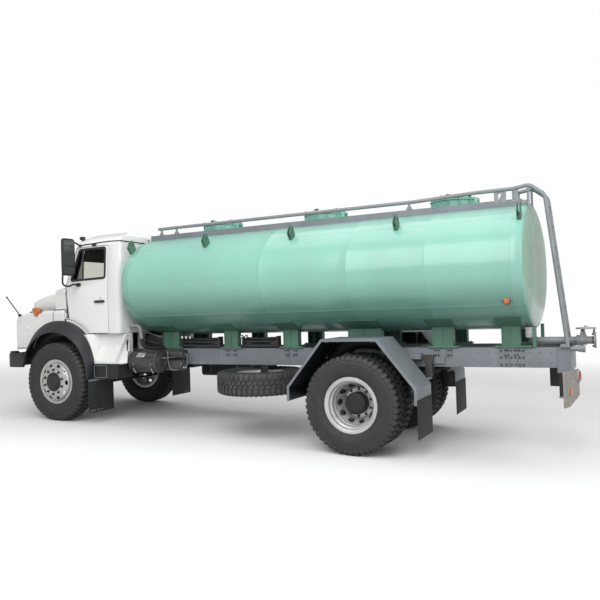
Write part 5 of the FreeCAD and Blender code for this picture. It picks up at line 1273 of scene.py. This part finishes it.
class TANKER_OT_outlet(bpy.types.Operator):
    """Builds the outlet pipe, its valve and handwheel"""
    bl_idname = "tanker.outlet"
    bl_label = "Outlet"

    def execute(self, context):
        y, z, x = -230, 1147, 7590
        pipe = [tube([(6975, y, 1340), (6975, y, z), (7500, y, z)], 44, 24, 90)]
        pipe.append(lathe([(7490, 0), (7490, 60), (7506, 66), (7516, 60), (7520, 48), (7552, 58), (7584, 50),
                           (7588, 60), (7600, 60), (7604, 44), (7640, 44), (7640, 0)], (0, y, z), "X", 32))
        pipe.append(lathe([(7604, 36), (7604, 44), (7668, 44), (7676, 52), (7681, 94), (7699, 95), (7701, 92),
                           (7701, 36)], (0, y, z), "X", 40, True))
        pipe.append(prism([(7516, z + 30), (7606, z + 30), (7578, z + 122), (7546, z + 122)], y - 30, y + 30))
        pipe.append(prism([(7660, z + 60), (7694, z + 60), (7694, z + 138), (7676, z + 138)], y - 22, y + 22))
        pipe.append(lathe([(z + 110, 0), (z + 110, 24), (z + 132, 20), (z + 140, 0)], (7562, y, 0), "Z", 20))
        pipe.append(lathe([(7428, 0), (7428, 24), (7470, 26), (7560, 40), (7590, 44), (7592, 30), (7560, 0)],
                          (0, -400, 1058), "X", 28))
        pipe.append(rod((7050, y + 96, 1110), (7560, y + 96, 1110), 30, 20, 4))
        piece("outlet_line", pipe, FINISHES["pipe"], stands_for=("outlet_pipe",))
        bolts = [ring_of(bolt((7660, y + 75, z), "X", 12, 16), (0, y, z), "X", 8, 0.5)]
        piece("flange_bolts", bolts, FINISHES["iron"])
        wheel = [lathe([(1284, 0), (1284, 84), (1278, 92), (1278, 108), (1286, 113), (1296, 110), (1298, 96),
                        (1290, 88), (1290, 30), (1300, 24), (1318, 20), (1320, 0)], (x + 6, y, 0), "Z", 40)]
        piece("handwheel_ring", wheel, FINISHES["stone"],
              stands_for=("outlet_handwheel",))
        filter_cup = [lathe([(1196, 0), (1196, 34), (1204, 40), (1290, 40), (1296, 46), (1316, 46),
                             (1316, 0)], (6988, -440, 0), "Z", 28)]
        piece("filter_cup", filter_cup, FINISHES["cup"])
        return {"FINISHED"}


def on_board(shells, x, s):
    """Shells drawn on a board across the truck, turned a little and set at the rail's end on side s."""
    return handed(moved(turned(shells, (0, 0, 0), "Z", -6.1), (x, -290, 0)), s)


class TANKER_OT_fenders(bpy.types.Operator):
    """Builds the rear fenders, mudflaps and lamp boards"""
    bl_idname = "tanker.fenders"
    bl_label = "Rear fenders and flaps"

    def execute(self, context):
        grey, dark = FINISHES["grey"], FINISHES["dark"]
        sheets = piece("fender_sheets", cad_copy("rear_fenders"), FINISHES["lined_grey"],
                       bevel=2.5, stands_for=("rear_fenders",))
        lined(sheets, (WHEELBASE, 0, HUB_Z - 180))
        line = np.array([(-842, 458), (-842, 642), (-353, 1230), (369, 1230), (834, 652), (834, 458)], float)
        u = np.concatenate([[0], np.cumsum(np.linalg.norm(np.diff(line, axis=0), axis=1))])
        t = np.unique(np.concatenate([u, np.linspace(0, u[-1], 40)]))
        outer = np.stack([np.interp(t, u, line[:, 0]), np.interp(t, u, line[:, 1])], -1)
        up = outer - np.array([0, HUB_Z - 172])
        inner = up / np.linalg.norm(up, axis=1, keepdims=True) * 650 + np.array([0, HUB_Z - 172])
        w = np.array([0, 0.5, 1])[:, None, None]
        flat = outer[None] * (1 - w) + inner[None] * w
        skirt = sheet(np.stack([flat[..., 0] + WHEELBASE, 0 * flat[..., 0] - 634, flat[..., 1]], -1))
        piece("fender_skirts", mirrored([skirt]), dark, wall=5)
        stays = [rod((WHEELBASE + x, -640, z), (WHEELBASE + x, -RAIL_HALF, z), 16, 10) for x, z in
                 ((-800, 700), (-560, 960), (560, 960), (790, 700))]
        stays.append(boxes((WHEELBASE + 420, WHEELBASE + 700, -560, -RAIL_HALF, 940, 1010),
                           (WHEELBASE + 760, WHEELBASE + 980, -470, -RAIL_HALF, 880, 960)))
        piece("fender_stays", mirrored(stays), grey, bevel=2)
        piece("flap_sheets", cad_copy("mudflaps"), FINISHES["flap"], bevel=2,
              stands_for=("mudflaps",))
        frame_line = loop_of([(752, 684), (1002, 684), (1002, 866), (752, 866)], 20)
        marks = [band(frame_line, [(4, -2), (4, 4), (-4, 4), (-4, -2)], lambda v: 1100 + 0 * v)]
        piece("box_frames", mirrored(marks), FINISHES["grey"])
        strips = [boxes((788, 791, -1235, -1130, 186, 200), (788, 791, -1090, -1050, 186, 200),
                        (788, 791, -1010, -980, 186, 200), (788, 796, -1256, -742, 636, 660))]
        piece("flap_strips", mirrored(strips), FINISHES["pipe"], bevel=1)
        boards, lenses, bezels, ambers = [], [], [], []
        for s, x, inner_y in ((-1, 7495, 0), (1, 7310, -155)):
            outline = loop_of([(-880, 862), (-880, 482), (-590, 458), (inner_y, 515), (inner_y, 820)], 26)
            red_y = inner_y - 78
            boards += on_board([prism(outline, 0, 12, "X")], x, s)
            bezel = [(10, 0), (10, 72), (26, 74), (30, 70), (30, 0)]
            dome = [(28, 0), (28, 64), (36, 62), (44, 50), (49, 28), (50, 0)]
            bezels += on_board([lathe(bezel, (0, red_y, 738), "X", 36)], x, s)
            lenses += on_board([lathe(dome, (0, red_y, 738), "X", 36)], x, s)
            bezels += on_board([lathe([(10, 0), (10, 24), (16, 24), (18, 20), (18, 0)], (0, -376, 700), "X",
                                      24)], x, s)
            ambers += on_board([lathe([(10, 0), (10, 42), (20, 42), (26, 34), (28, 0)], (0, -540, 610), "X",
                                      28)], x, s)
        piece("lamp_panels", boards, FINISHES["board"], bevel=1.5,
              stands_for=("lamp_boards",))
        arms = [boxes((7300, 7486, -436, -418, 500, 776), (7383, 7399, -430, -340, 520, 776),
                      (7115, 7301, 430, 452, 520, 900))]
        piece("lamp_arms", arms, dark, bevel=2)
        piece("lamp_arm_lip", [boxes((7296, 7490, -450, -418, 486, 506))], FINISHES["stone"],
              bevel=2)
        piece("lamp_bezels", bezels, FINISHES["cup"])
        piece("red_lenses", lenses, FINISHES["red_lens"], stands_for=("tail_lamps",))
        piece("amber_lenses", ambers, FINISHES["amber_lens"])
        return {"FINISHED"}


# Cab

def cab_skin(z):
    """How far the cab's side stands from the middle plane at a height."""
    return np.interp(z, [1315, 2085, 2700, 2755, 2805, 2840], [974, 980, 945, 935, 900, 835])


WING_BEND = 45.0
WINDOW = [(186, 2190), (890, 2206), (894, 2672), (366, 2666)]


def lined(obj, middle):
    """Marks the faces that look towards the cab's middle, so that the finish can show the trim there."""
    mesh = obj.data
    n = len(mesh.polygons)
    at, way = np.empty(n * 3), np.empty(n * 3)
    mesh.polygons.foreach_get("center", at)
    mesh.polygons.foreach_get("normal", way)
    inward = ((place([middle])[0] - at.reshape(-1, 3)) * way.reshape(-1, 3)).sum(1) > 0.12
    layer = mesh.attributes.new("inner", "FLOAT", "FACE")
    layer.data.foreach_set("value", inward.astype(float))
    return obj


def bonnet_skin():
    """The bonnet: along X its half width W and height H follow the outline, and each section is a rounded box
    whose Y is W times a power of the cosine and Z is H times the same power of the sine."""
    x = np.concatenate([np.linspace(-168, -1000, 18), np.linspace(-1014, -1090, 9)])[::-1]
    top = np.interp(x, [-1090, -1086, -1078, -1066, -1040, -980, -900, -700, -420, -198, -172, -168],
                    [1750, 1790, 1820, 1848, 1880, 1908, 1934, 1988, 2036, 2062, 2052, 2048])
    half = np.interp(x, [-1090, -1060, -1000, -700, -168], [560, 625, 680, 728, 740])
    t = np.linspace(0, np.pi, 61)[None, :]
    y = half[:, None] * np.sign(np.cos(t)) * np.abs(np.cos(t)) ** 0.13
    up = np.abs(np.sin(t)) ** 0.13
    z = 1742 + (top[:, None] - 1742) * up - 4 * up ** 2 * (y / half[:, None]) ** 2
    grid = np.stack([x[:, None] + 0 * t, y, z], -1)
    nose = np.stack([np.full(61, -1088.0), grid[0, :, 1] * 0.97, np.full(61, 1744.0)], -1)
    return sheet(np.concatenate([nose[None], grid]))


def wing_skin():
    """The left wing: its section runs from the inner edge over the top, round a quarter circle, and down
    the side in straight lines that end on the arch."""
    line = rounded([(-1083, 1110, 0), (-1083, 1560, 0), (-1056, 1640, 0), (-960, 1684, 0), (-836, 1706, 0),
                    (-430, 1722, 0), (36, 1734, 0)], 90, 6)[:, :2]
    u = np.concatenate([[0], np.cumsum(np.linalg.norm(np.diff(line, axis=0), axis=1))])
    t = np.unique(np.concatenate([u, np.linspace(0, u[-1], 36)]))
    top = np.stack([np.interp(t, u, line[:, 0]), np.interp(t, u, line[:, 1])], -1)
    step = np.gradient(top, axis=0)
    inward = np.stack([step[:, 1], -step[:, 0]], -1)
    inward /= np.linalg.norm(inward, axis=1, keepdims=True)
    angle = np.radians(155 - 64 * t / t[-1])
    arch = np.stack([-22 + 711 * np.cos(angle), 821 + 711 * np.sin(angle)], -1)
    arch[-1] = (36, 1532)
    r = WING_BEND
    rows = [np.column_stack([top[:, 0], np.full(len(t), -700.0), top[:, 1]])]
    for k in np.radians(np.linspace(0, 90, 8)):
        at = top + inward * r * (1 - math.cos(k))
        rows.append(np.column_stack([at[:, 0], np.full(len(t), -1000 + r - r * math.sin(k)), at[:, 1]]))
    edge = top + inward * r
    for w in (0.25, 0.5, 0.75, 1.0):
        at = edge * (1 - w) + arch * w
        rows.append(np.column_stack([at[:, 0], np.full(len(t), -1000.0), at[:, 1]]))
    grid = np.stack(rows, 1)
    grid[..., 2] = np.maximum(grid[..., 2], 1110)
    return sheet(grid)


class TANKER_OT_cab(bpy.types.Operator):
    """Builds the cab body, doors, bonnet, wings and steps"""
    bl_idname = "tanker.cab"
    bl_label = "Cab"

    def execute(self, context):
        white, plastic, trim = FINISHES["white"], FINISHES["plastic"], FINISHES["trim"]
        body = piece("cab_body", cad_copy("cab_shell"), FINISHES["lined_white"],
                     bevel=6, turns=3, stands_for=("cab_shell",))
        lined(body, (620, 0, 2120))
        piece("bonnet_skin", [bonnet_skin()], white, "bonnet", wall=16, stands_for=("bonnet",))
        hinge = [rod((-164, y, 2076), (-164, y + 60, 2076), 15, 16, 2) for y in (380, -440)]
        hinge.append(boxes((-216, -170, 380, 440, 2046, 2080), (-216, -170, -440, -380, 2046, 2080)))
        piece("bonnet_hinges", hinge, FINISHES["iron"], "bonnet")
        piece("wing_skins", mirrored([wing_skin()]), white, wall=20,
              stands_for=("front_wings",))
        piece("step_bodies", cad_copy("cab_steps"), white, bevel=8, turns=3,
              stands_for=("cab_steps",))
        posts = [boxes((1296, 1338, -985, -955, 1075, 1312), (724, 1300, -1066, -1058, 886, 906))]
        piece("step_posts", mirrored(posts), white, bevel=3)
        piece("nose_grille", cad_copy("nose_panel"), plastic, bevel=3,
              stands_for=("nose_panel",))
        half = np.array([(-745, -1155), (-1078, -1155), (-1112, -895), (-1112, 0)], float)
        sweep = np.vstack([half, half[-2::-1] * np.array([1, -1])])
        piece("bumper_beam", [level_bar(sweep, 58, 827, 1053, 150)], FINISHES["bumper"],
              stands_for=("front_bumper",), smooth=60)
        piece("bumper_pads", mirrored([blob((-1040, -1060, 1064), (56, 56, 24), 0.4)]),
              FINISHES["bumper"])
        sides = [boxes((-690, 620, -468, -460, 1085, 1500))]
        piece("engine_side_sheets", mirrored(sides), FINISHES["dark"])
        piece("flare_bands", cad_copy("arch_flares"), plastic, bevel=4,
              stands_for=("arch_flares",))
        piece("arch_sheets", cad_copy("arch_liners"), trim, bevel=2,
              stands_for=("arch_liners",))
        window = loop_of(WINDOW, 36)
        seal = [band(window, [(20, -3), (19, 6), (2, 9), (-15, 6), (-16, -26), (4, -26)], cab_skin)]
        seal.append(rod((DIVIDER_X, -cab_skin(2196) + 4, 2196), (DIVIDER_X, -cab_skin(2668) + 4, 2668), 13,
                        12))
        handle = [blob((782, -992, 1842), (106, 16, 20), 0.6), blob((860, -1004, 1846), (26, 12, 17), 0.7)]
        latch = lathe([(-2, 0), (-2, 13), (-6, 12), (-7, 0)], (800, -978, 1892), "Y", 16)
        for side, s in (("left", -1), ("right", 1)):
            ride = "door_" + side
            skin = piece("door_skin_" + side, cad_copy(ride), FINISHES["lined_white"], ride,
                         bevel=4, stands_for=(ride,))
            lined(skin, (620, 0, 2120))
            dressed("door_glass_" + side, FINISHES["door_glass"])
            piece("window_seal_" + side, handed(seal, s), trim, ride)
            piece("door_handle_" + side, handed(handle, s), trim, ride)
            piece("door_lock_" + side, handed([latch], s), FINISHES["bright"], ride)
        dressed("cab_glass", FINISHES["glass"])
        eave = [(345, -944, 2738), (592, -940, 2750), (909, -938, 2763), (1065, -937, 2762),
                (1186, -937, 2757), (1187, 0, 2752)]
        lines = mirrored([tube(eave, 8, 8, 40, (0, 0, 1))])
        lines += mirrored([tube([(60, -815, 2128), (288, -800, 2726), (292, 0, 2735)], 14, 8, 40,
                                (0.3, 1, 0.2)), rod((52, -812, 2128), (52, 0, 2128), 14, 8)])
        k = np.radians(np.linspace(-12, 90, 9))
        seam = np.stack([np.full(9, -198.0), WING_BEND - 1001 - WING_BEND * np.sin(k),
                         1728 - WING_BEND + WING_BEND * np.cos(k)], -1)
        lines += mirrored([tube(np.vstack([seam, (-200, -1001, 1536)]), 4, 6, 0, (1, 0, 0.1))])
        piece("cab_seals", lines, trim)
        trims = [blob((352, -872, 2858), (40, 34, 28), 0.5),
                 rod((352, -872, 2780), (352, -872, 2850), 16, 12),
                 blob((672, -952, 2728), (44, 12, 16), 0.4),
                 tube([(-220, -742, 2050), (-214, -748, 2086), (-186, -748, 2096), (-160, -742, 2080)],
                      9, 8, 12),
                 tube([(-975, -992, 1660), (-1000, -1000, 1704), (-1272, -1000, 1980)], 9, 10, 20,
                      (0, 1, 0)),
                 blob((-978, -992, 1672), (30, 22, 22), 0.6),
                 blob((-1276, -1000, 1984), (15, 15, 15), 1.0, 8, 12)]
        piece("cab_trims", mirrored(trims), trim)
        wiper = [tube([(40, y, 2112), (44, y + 20, 2134), (52, y + 470, 2142)], 6, 6, 0, (0, 0, 1))
                 for y in (-620, 60)]
        piece("wipers", wiper, trim)
        self.cabin()
        return {"FINISHED"}

    def cabin(self):
        """The dash, seats, visors and steering wheel behind the glass."""
        trim, cabin = FINISHES["trim"], FINISHES["cabin"]
        w = 845
        dash = prism(loop_of([(125, 1800), (125, 2040), (330, 2010), (360, 1900), (300, 1800)], 36), -w, w)
        fittings = [dash, boxes((130, 240, -w + 40, w - 40, 1385, 1800))]
        visor = [(262, 2500), (276, 2496), (346, 2704), (332, 2708)]
        fittings += [prism(visor, a, b) for a, b in ((-800, -40), (40, 800))]
        fittings.append(rod((207, -495, 1704), (372, -495, 1990), 24, 16))
        piece("cabin_fittings", fittings, cabin, bevel=6, stands_for=("cab_interior",))
        seats, plinths = [], []
        for y0, y1 in ((-760, -230), (-110, 760)):
            mid, half = (y0 + y1) / 2, (y1 - y0) / 2
            seats.append(blob((800, mid, 1690), (238, half - 4, 112), 0.34, 24, 44))
            seats += turned([blob((1026, mid, 2120), (62, half - 4, 326), 0.36, 24, 44)], (1026, mid, 2120),
                            "Y", 7.1)
            plinths.append(boxes((590, 1010, y0 + 40, y1 - 40, 1385, 1590)))
        obj = piece("seat_cushions", seats, FINISHES["seat"])
        piece("seat_plinths", plinths, cabin, bevel=8)
        piece("steering_ring", cad_copy("steering_wheel"), trim, "steering_wheel",
              stands_for=("steering_wheel",))


class TANKER_OT_mirrors(bpy.types.Operator):
    """Builds the mirrors on their tube arms"""
    bl_idname = "tanker.mirrors"
    bl_label = "Mirrors"

    def execute(self, context):
        trim = FINISHES["trim"]
        head = [blob((396, -1222, 2538), (26, 120, 286), 0.22, 28, 44)]
        pane = [boxes((419, 424, -1326, -1120, 2400, 2796), (419, 424, -1326, -1120, 2282, 2384))]
        arms = [tube([(372, -1312, 2330), (358, -1314, 2110), (352, -1190, 2082), (345, -1080, 2128),
                      (345, -972, 2116)], 14, 12, 60, (1, 0, 0)),
                tube([(392, -1180, 2790), (388, -1060, 2770), (374, -944, 2734)], 13, 12, 40, (1, 0, 0)),
                blob((352, -984, 2118), (46, 16, 28), 0.5), blob((378, -950, 2736), (26, 14, 18), 0.5)]
        for side, s in (("left", -1), ("right", 1)):
            ride = "door_" + side
            piece("mirror_head_" + side, handed(head, s), trim, ride,
                  stands_for=("mirror_" + side,))
            piece("mirror_arms_" + side, handed(arms, s), trim, ride)
            piece("mirror_panes_" + side, handed(pane, s), FINISHES["mirror"], ride, bevel=2)
        return {"FINISHED"}


class TANKER_OT_lamps(bpy.types.Operator):
    """Builds the headlamps, indicators and side markers"""
    bl_idname = "tanker.lamps"
    bl_label = "Lamps"

    def execute(self, context):
        outline = loop_of([(-662, 1752), (-640, 1786), (-560, 1790), (-424, 1764), (-468, 1706), (-530, 1686),
                           (-556, 1640), (-600, 1650), (-640, 1700)], 18, 4)
        c = outline.mean(0)
        rows = [(0, 0.0), (0, 20), (-6, 30), (-16, 37)]
        rings = [np.column_stack([grown(outline, out)[:, 0], np.full(len(outline), -996.0 - d),
                                  grown(outline, out)[:, 1]]) for out, d in rows]
        rings = [np.tile((c[0], -996.0, c[1]), (len(outline), 1))] + rings
        rings.append(np.tile((c[0], -1036.0, c[1]), (len(outline), 1)))
        piece("indicators", mirrored([sheet(np.stack(rings), False, True)]),
              FINISHES["amber_lens"], stands_for=("front_lamps",))
        square = loop_of([(-930, 1220), (-760, 1220), (-760, 1400), (-930, 1400)], 40)
        bezel = np.stack([np.column_stack([np.full(len(square), x), grown(square, d)]) for d, x in
                          ((0, -1080), (0, -1105), (-14, -1107), (-18, -1092))])
        lens = np.stack([np.column_stack([np.full(len(square), x), grown(square, d)]) for d, x in
                         ((-16, -1090), (-24, -1100), (-50, -1104), (-80, -1105))])
        piece("headlamp_rims", mirrored([sheet(bezel, False, True)]), FINISHES["trim"],
              wall=3)
        piece("headlamp_lenses", mirrored([sheet(lens, False, True)]), FINISHES["clear_lens"],
              wall=3)
        tank = context.scene.tanker_tank
        side = tank.half_width / MM * math.sqrt(1 - ((1638 - TANK_Z) * MM / tank.half_height) ** 2)
        marker = [blob((6825, -side - 14, 1634), (36, 30, 38), 0.9, 12, 20)]
        cup = [lathe([(-side + 16, 0), (-side + 16, 46), (-side - 8, 44), (-side - 12, 36), (-side - 12, 0)],
                     (6825, 0, 1638), "Y", 28)]
        piece("side_markers", mirrored(marker), FINISHES["amber_lens"],
              stands_for=("marker_lamps",))
        piece("side_marker_cups", mirrored(cup), FINISHES["trim"])
        return {"FINISHED"}


# Stage

class TANKER_OT_stage(bpy.types.Operator):
    """Sets the floor, the light and the camera"""
    bl_idname = "tanker.stage"
    bl_label = "Floor, light and camera"

    def execute(self, context):
        stage = context.scene.tanker_stage
        scene = context.scene
        mat, tree, shader, coord = new_finish("pale_floor")
        path = add_node(tree, "ShaderNodeLightPath")
        seen = add_node(tree, "ShaderNodeMath", operation="ADD", use_clamp=True)
        tree.links.new(path.outputs["Is Camera Ray"], seen.inputs[0])
        tree.links.new(path.outputs["Is Glossy Ray"], seen.inputs[1])
        tree.links.new(blended(tree, seen.outputs[0], (0.32, 0.32, 0.32), (0.93, 0.93, 0.93)),
                       shader.inputs["Base Color"])
        shader.inputs["Roughness"].default_value = 0.9
        shader.inputs["Specular IOR Level"].default_value = 0.1
        away = add_node(tree, "ShaderNodeVectorMath", operation="LENGTH")
        tree.links.new(coord, away.inputs[0])
        fade = add_node(tree, "ShaderNodeMapRange")
        fade.inputs["From Min"].default_value = 7.0
        fade.inputs["From Max"].default_value = 14.0
        tree.links.new(away.outputs["Value"], fade.inputs["Value"])
        glow = add_node(tree, "ShaderNodeEmission", Strength=1.0)
        blend = add_node(tree, "ShaderNodeMixShader")
        tree.links.new(product(tree, fade.outputs["Result"], seen.outputs[0]), blend.inputs[0])
        tree.links.new(shader.outputs[0], blend.inputs[1])
        tree.links.new(glow.outputs[0], blend.inputs[2])
        tree.links.new(blend.outputs[0], tree.nodes["Material Output"].inputs["Surface"])
        floor = bpy.data.meshes.new("floor")
        floor.from_pydata([(-60, -60, 0), (60, -60, 0), (60, 60, 0), (-60, 60, 0)], [], [(0, 1, 2, 3)])
        floor.materials.append(mat)
        obj = bpy.data.objects.new("floor", floor)
        scene.collection.objects.link(obj)
        world = bpy.data.worlds.new("even_light")
        world.use_nodes = True
        tree = world.node_tree
        back = tree.nodes["Background"]
        path = add_node(tree, "ShaderNodeLightPath")
        seen = add_node(tree, "ShaderNodeMath", operation="ADD", use_clamp=True)
        tree.links.new(path.outputs["Is Camera Ray"], seen.inputs[0])
        tree.links.new(path.outputs["Is Transmission Ray"], seen.inputs[1])
        tree.links.new(scaled(tree, seen.outputs[0], stage.world_light, 1.0), back.inputs["Strength"])
        back.inputs["Color"].default_value = (1, 1, 1, 1)
        scene.world = world
        lamps = (("key_lamp", (1.5, -8.5, 7.5), 9.0, stage.key_light, (0, 0, 1.5)),
                 ("top_lamp", (0.0, 1.5, 10.0), 8.0, stage.key_light * 0.3, (0, 0, 1.5)),
                 ("rear_lamp", (10.0, -3.0, 5.0), 5.0, stage.key_light * 0.3, (2, 0, 1.5)))
        for name, at, size, power, aim in lamps:
            data = bpy.data.lights.new(name, "AREA")
            data.size = size
            data.energy = power
            lamp = bpy.data.objects.new(name, data)
            lamp.location = at
            direction = np.asarray(aim) - np.asarray(at)
            yaw = math.atan2(direction[1], direction[0])
            tilt = math.atan2(math.hypot(direction[0], direction[1]), -direction[2])
            lamp.rotation_euler = (tilt, 0, yaw - math.pi / 2)
            scene.collection.objects.link(lamp)
        data = bpy.data.cameras.new("camera")
        data.lens = stage.lens
        data.sensor_width = 36.0
        camera = bpy.data.objects.new("camera", data)
        camera.location = stage.camera_at
        camera.rotation_euler = (math.radians(90), 0, stage.camera_yaw)
        scene.collection.objects.link(camera)
        scene.camera = camera
        scene.view_settings.view_transform = "Standard"
        return {"FINISHED"}


class TANKER_PT_panel(bpy.types.Panel):
    """Lists the truck's settings and steps"""
    bl_label = "Tanker truck"
    bl_idname = "TANKER_PT_panel"
    bl_space_type = "VIEW_3D"
    bl_region_type = "UI"
    bl_category = "Tanker"

    def draw(self, context):
        """Shows each setting, then a button for each step."""
        layout = self.layout
        for group in ("tanker_paint", "tanker_wheels", "tanker_tank", "tanker_stage"):
            values = getattr(context.scene, group)
            for key in values.__annotations__:
                layout.prop(values, key)
        for step in STEPS:
            layout.operator(step.bl_idname)


GROUPS = {"tanker_paint": TankerPaint, "tanker_wheels": TankerWheels, "tanker_tank": TankerTank,
          "tanker_stage": TankerStage}
STEPS = (TANKER_OT_stage, TANKER_OT_tyres, TANKER_OT_rims, TANKER_OT_tank, TANKER_OT_walkway,
         TANKER_OT_handrail, TANKER_OT_saddles, TANKER_OT_chassis, TANKER_OT_side_gear, TANKER_OT_outlet,
         TANKER_OT_fenders, TANKER_OT_cab, TANKER_OT_mirrors, TANKER_OT_lamps)


def register():
    """Adds the classes and hangs the settings on the scene."""
    for cls in (*GROUPS.values(), *STEPS, TANKER_PT_panel):
        bpy.utils.register_class(cls)
    for name, cls in GROUPS.items():
        setattr(bpy.types.Scene, name, PointerProperty(type=cls))


def unregister():
    """Takes the settings and the classes away again."""
    for name in GROUPS:
        delattr(bpy.types.Scene, name)
    for cls in reversed((*GROUPS.values(), *STEPS, TANKER_PT_panel)):
        bpy.utils.unregister_class(cls)


def main():
    """Builds the whole truck."""
    register()
    all_finishes(bpy.context.scene.tanker_paint)
    for step in STEPS:
        group, name = step.bl_idname.split(".")
        getattr(getattr(bpy.ops, group), name)()


if __name__ == "__main__":
    main()
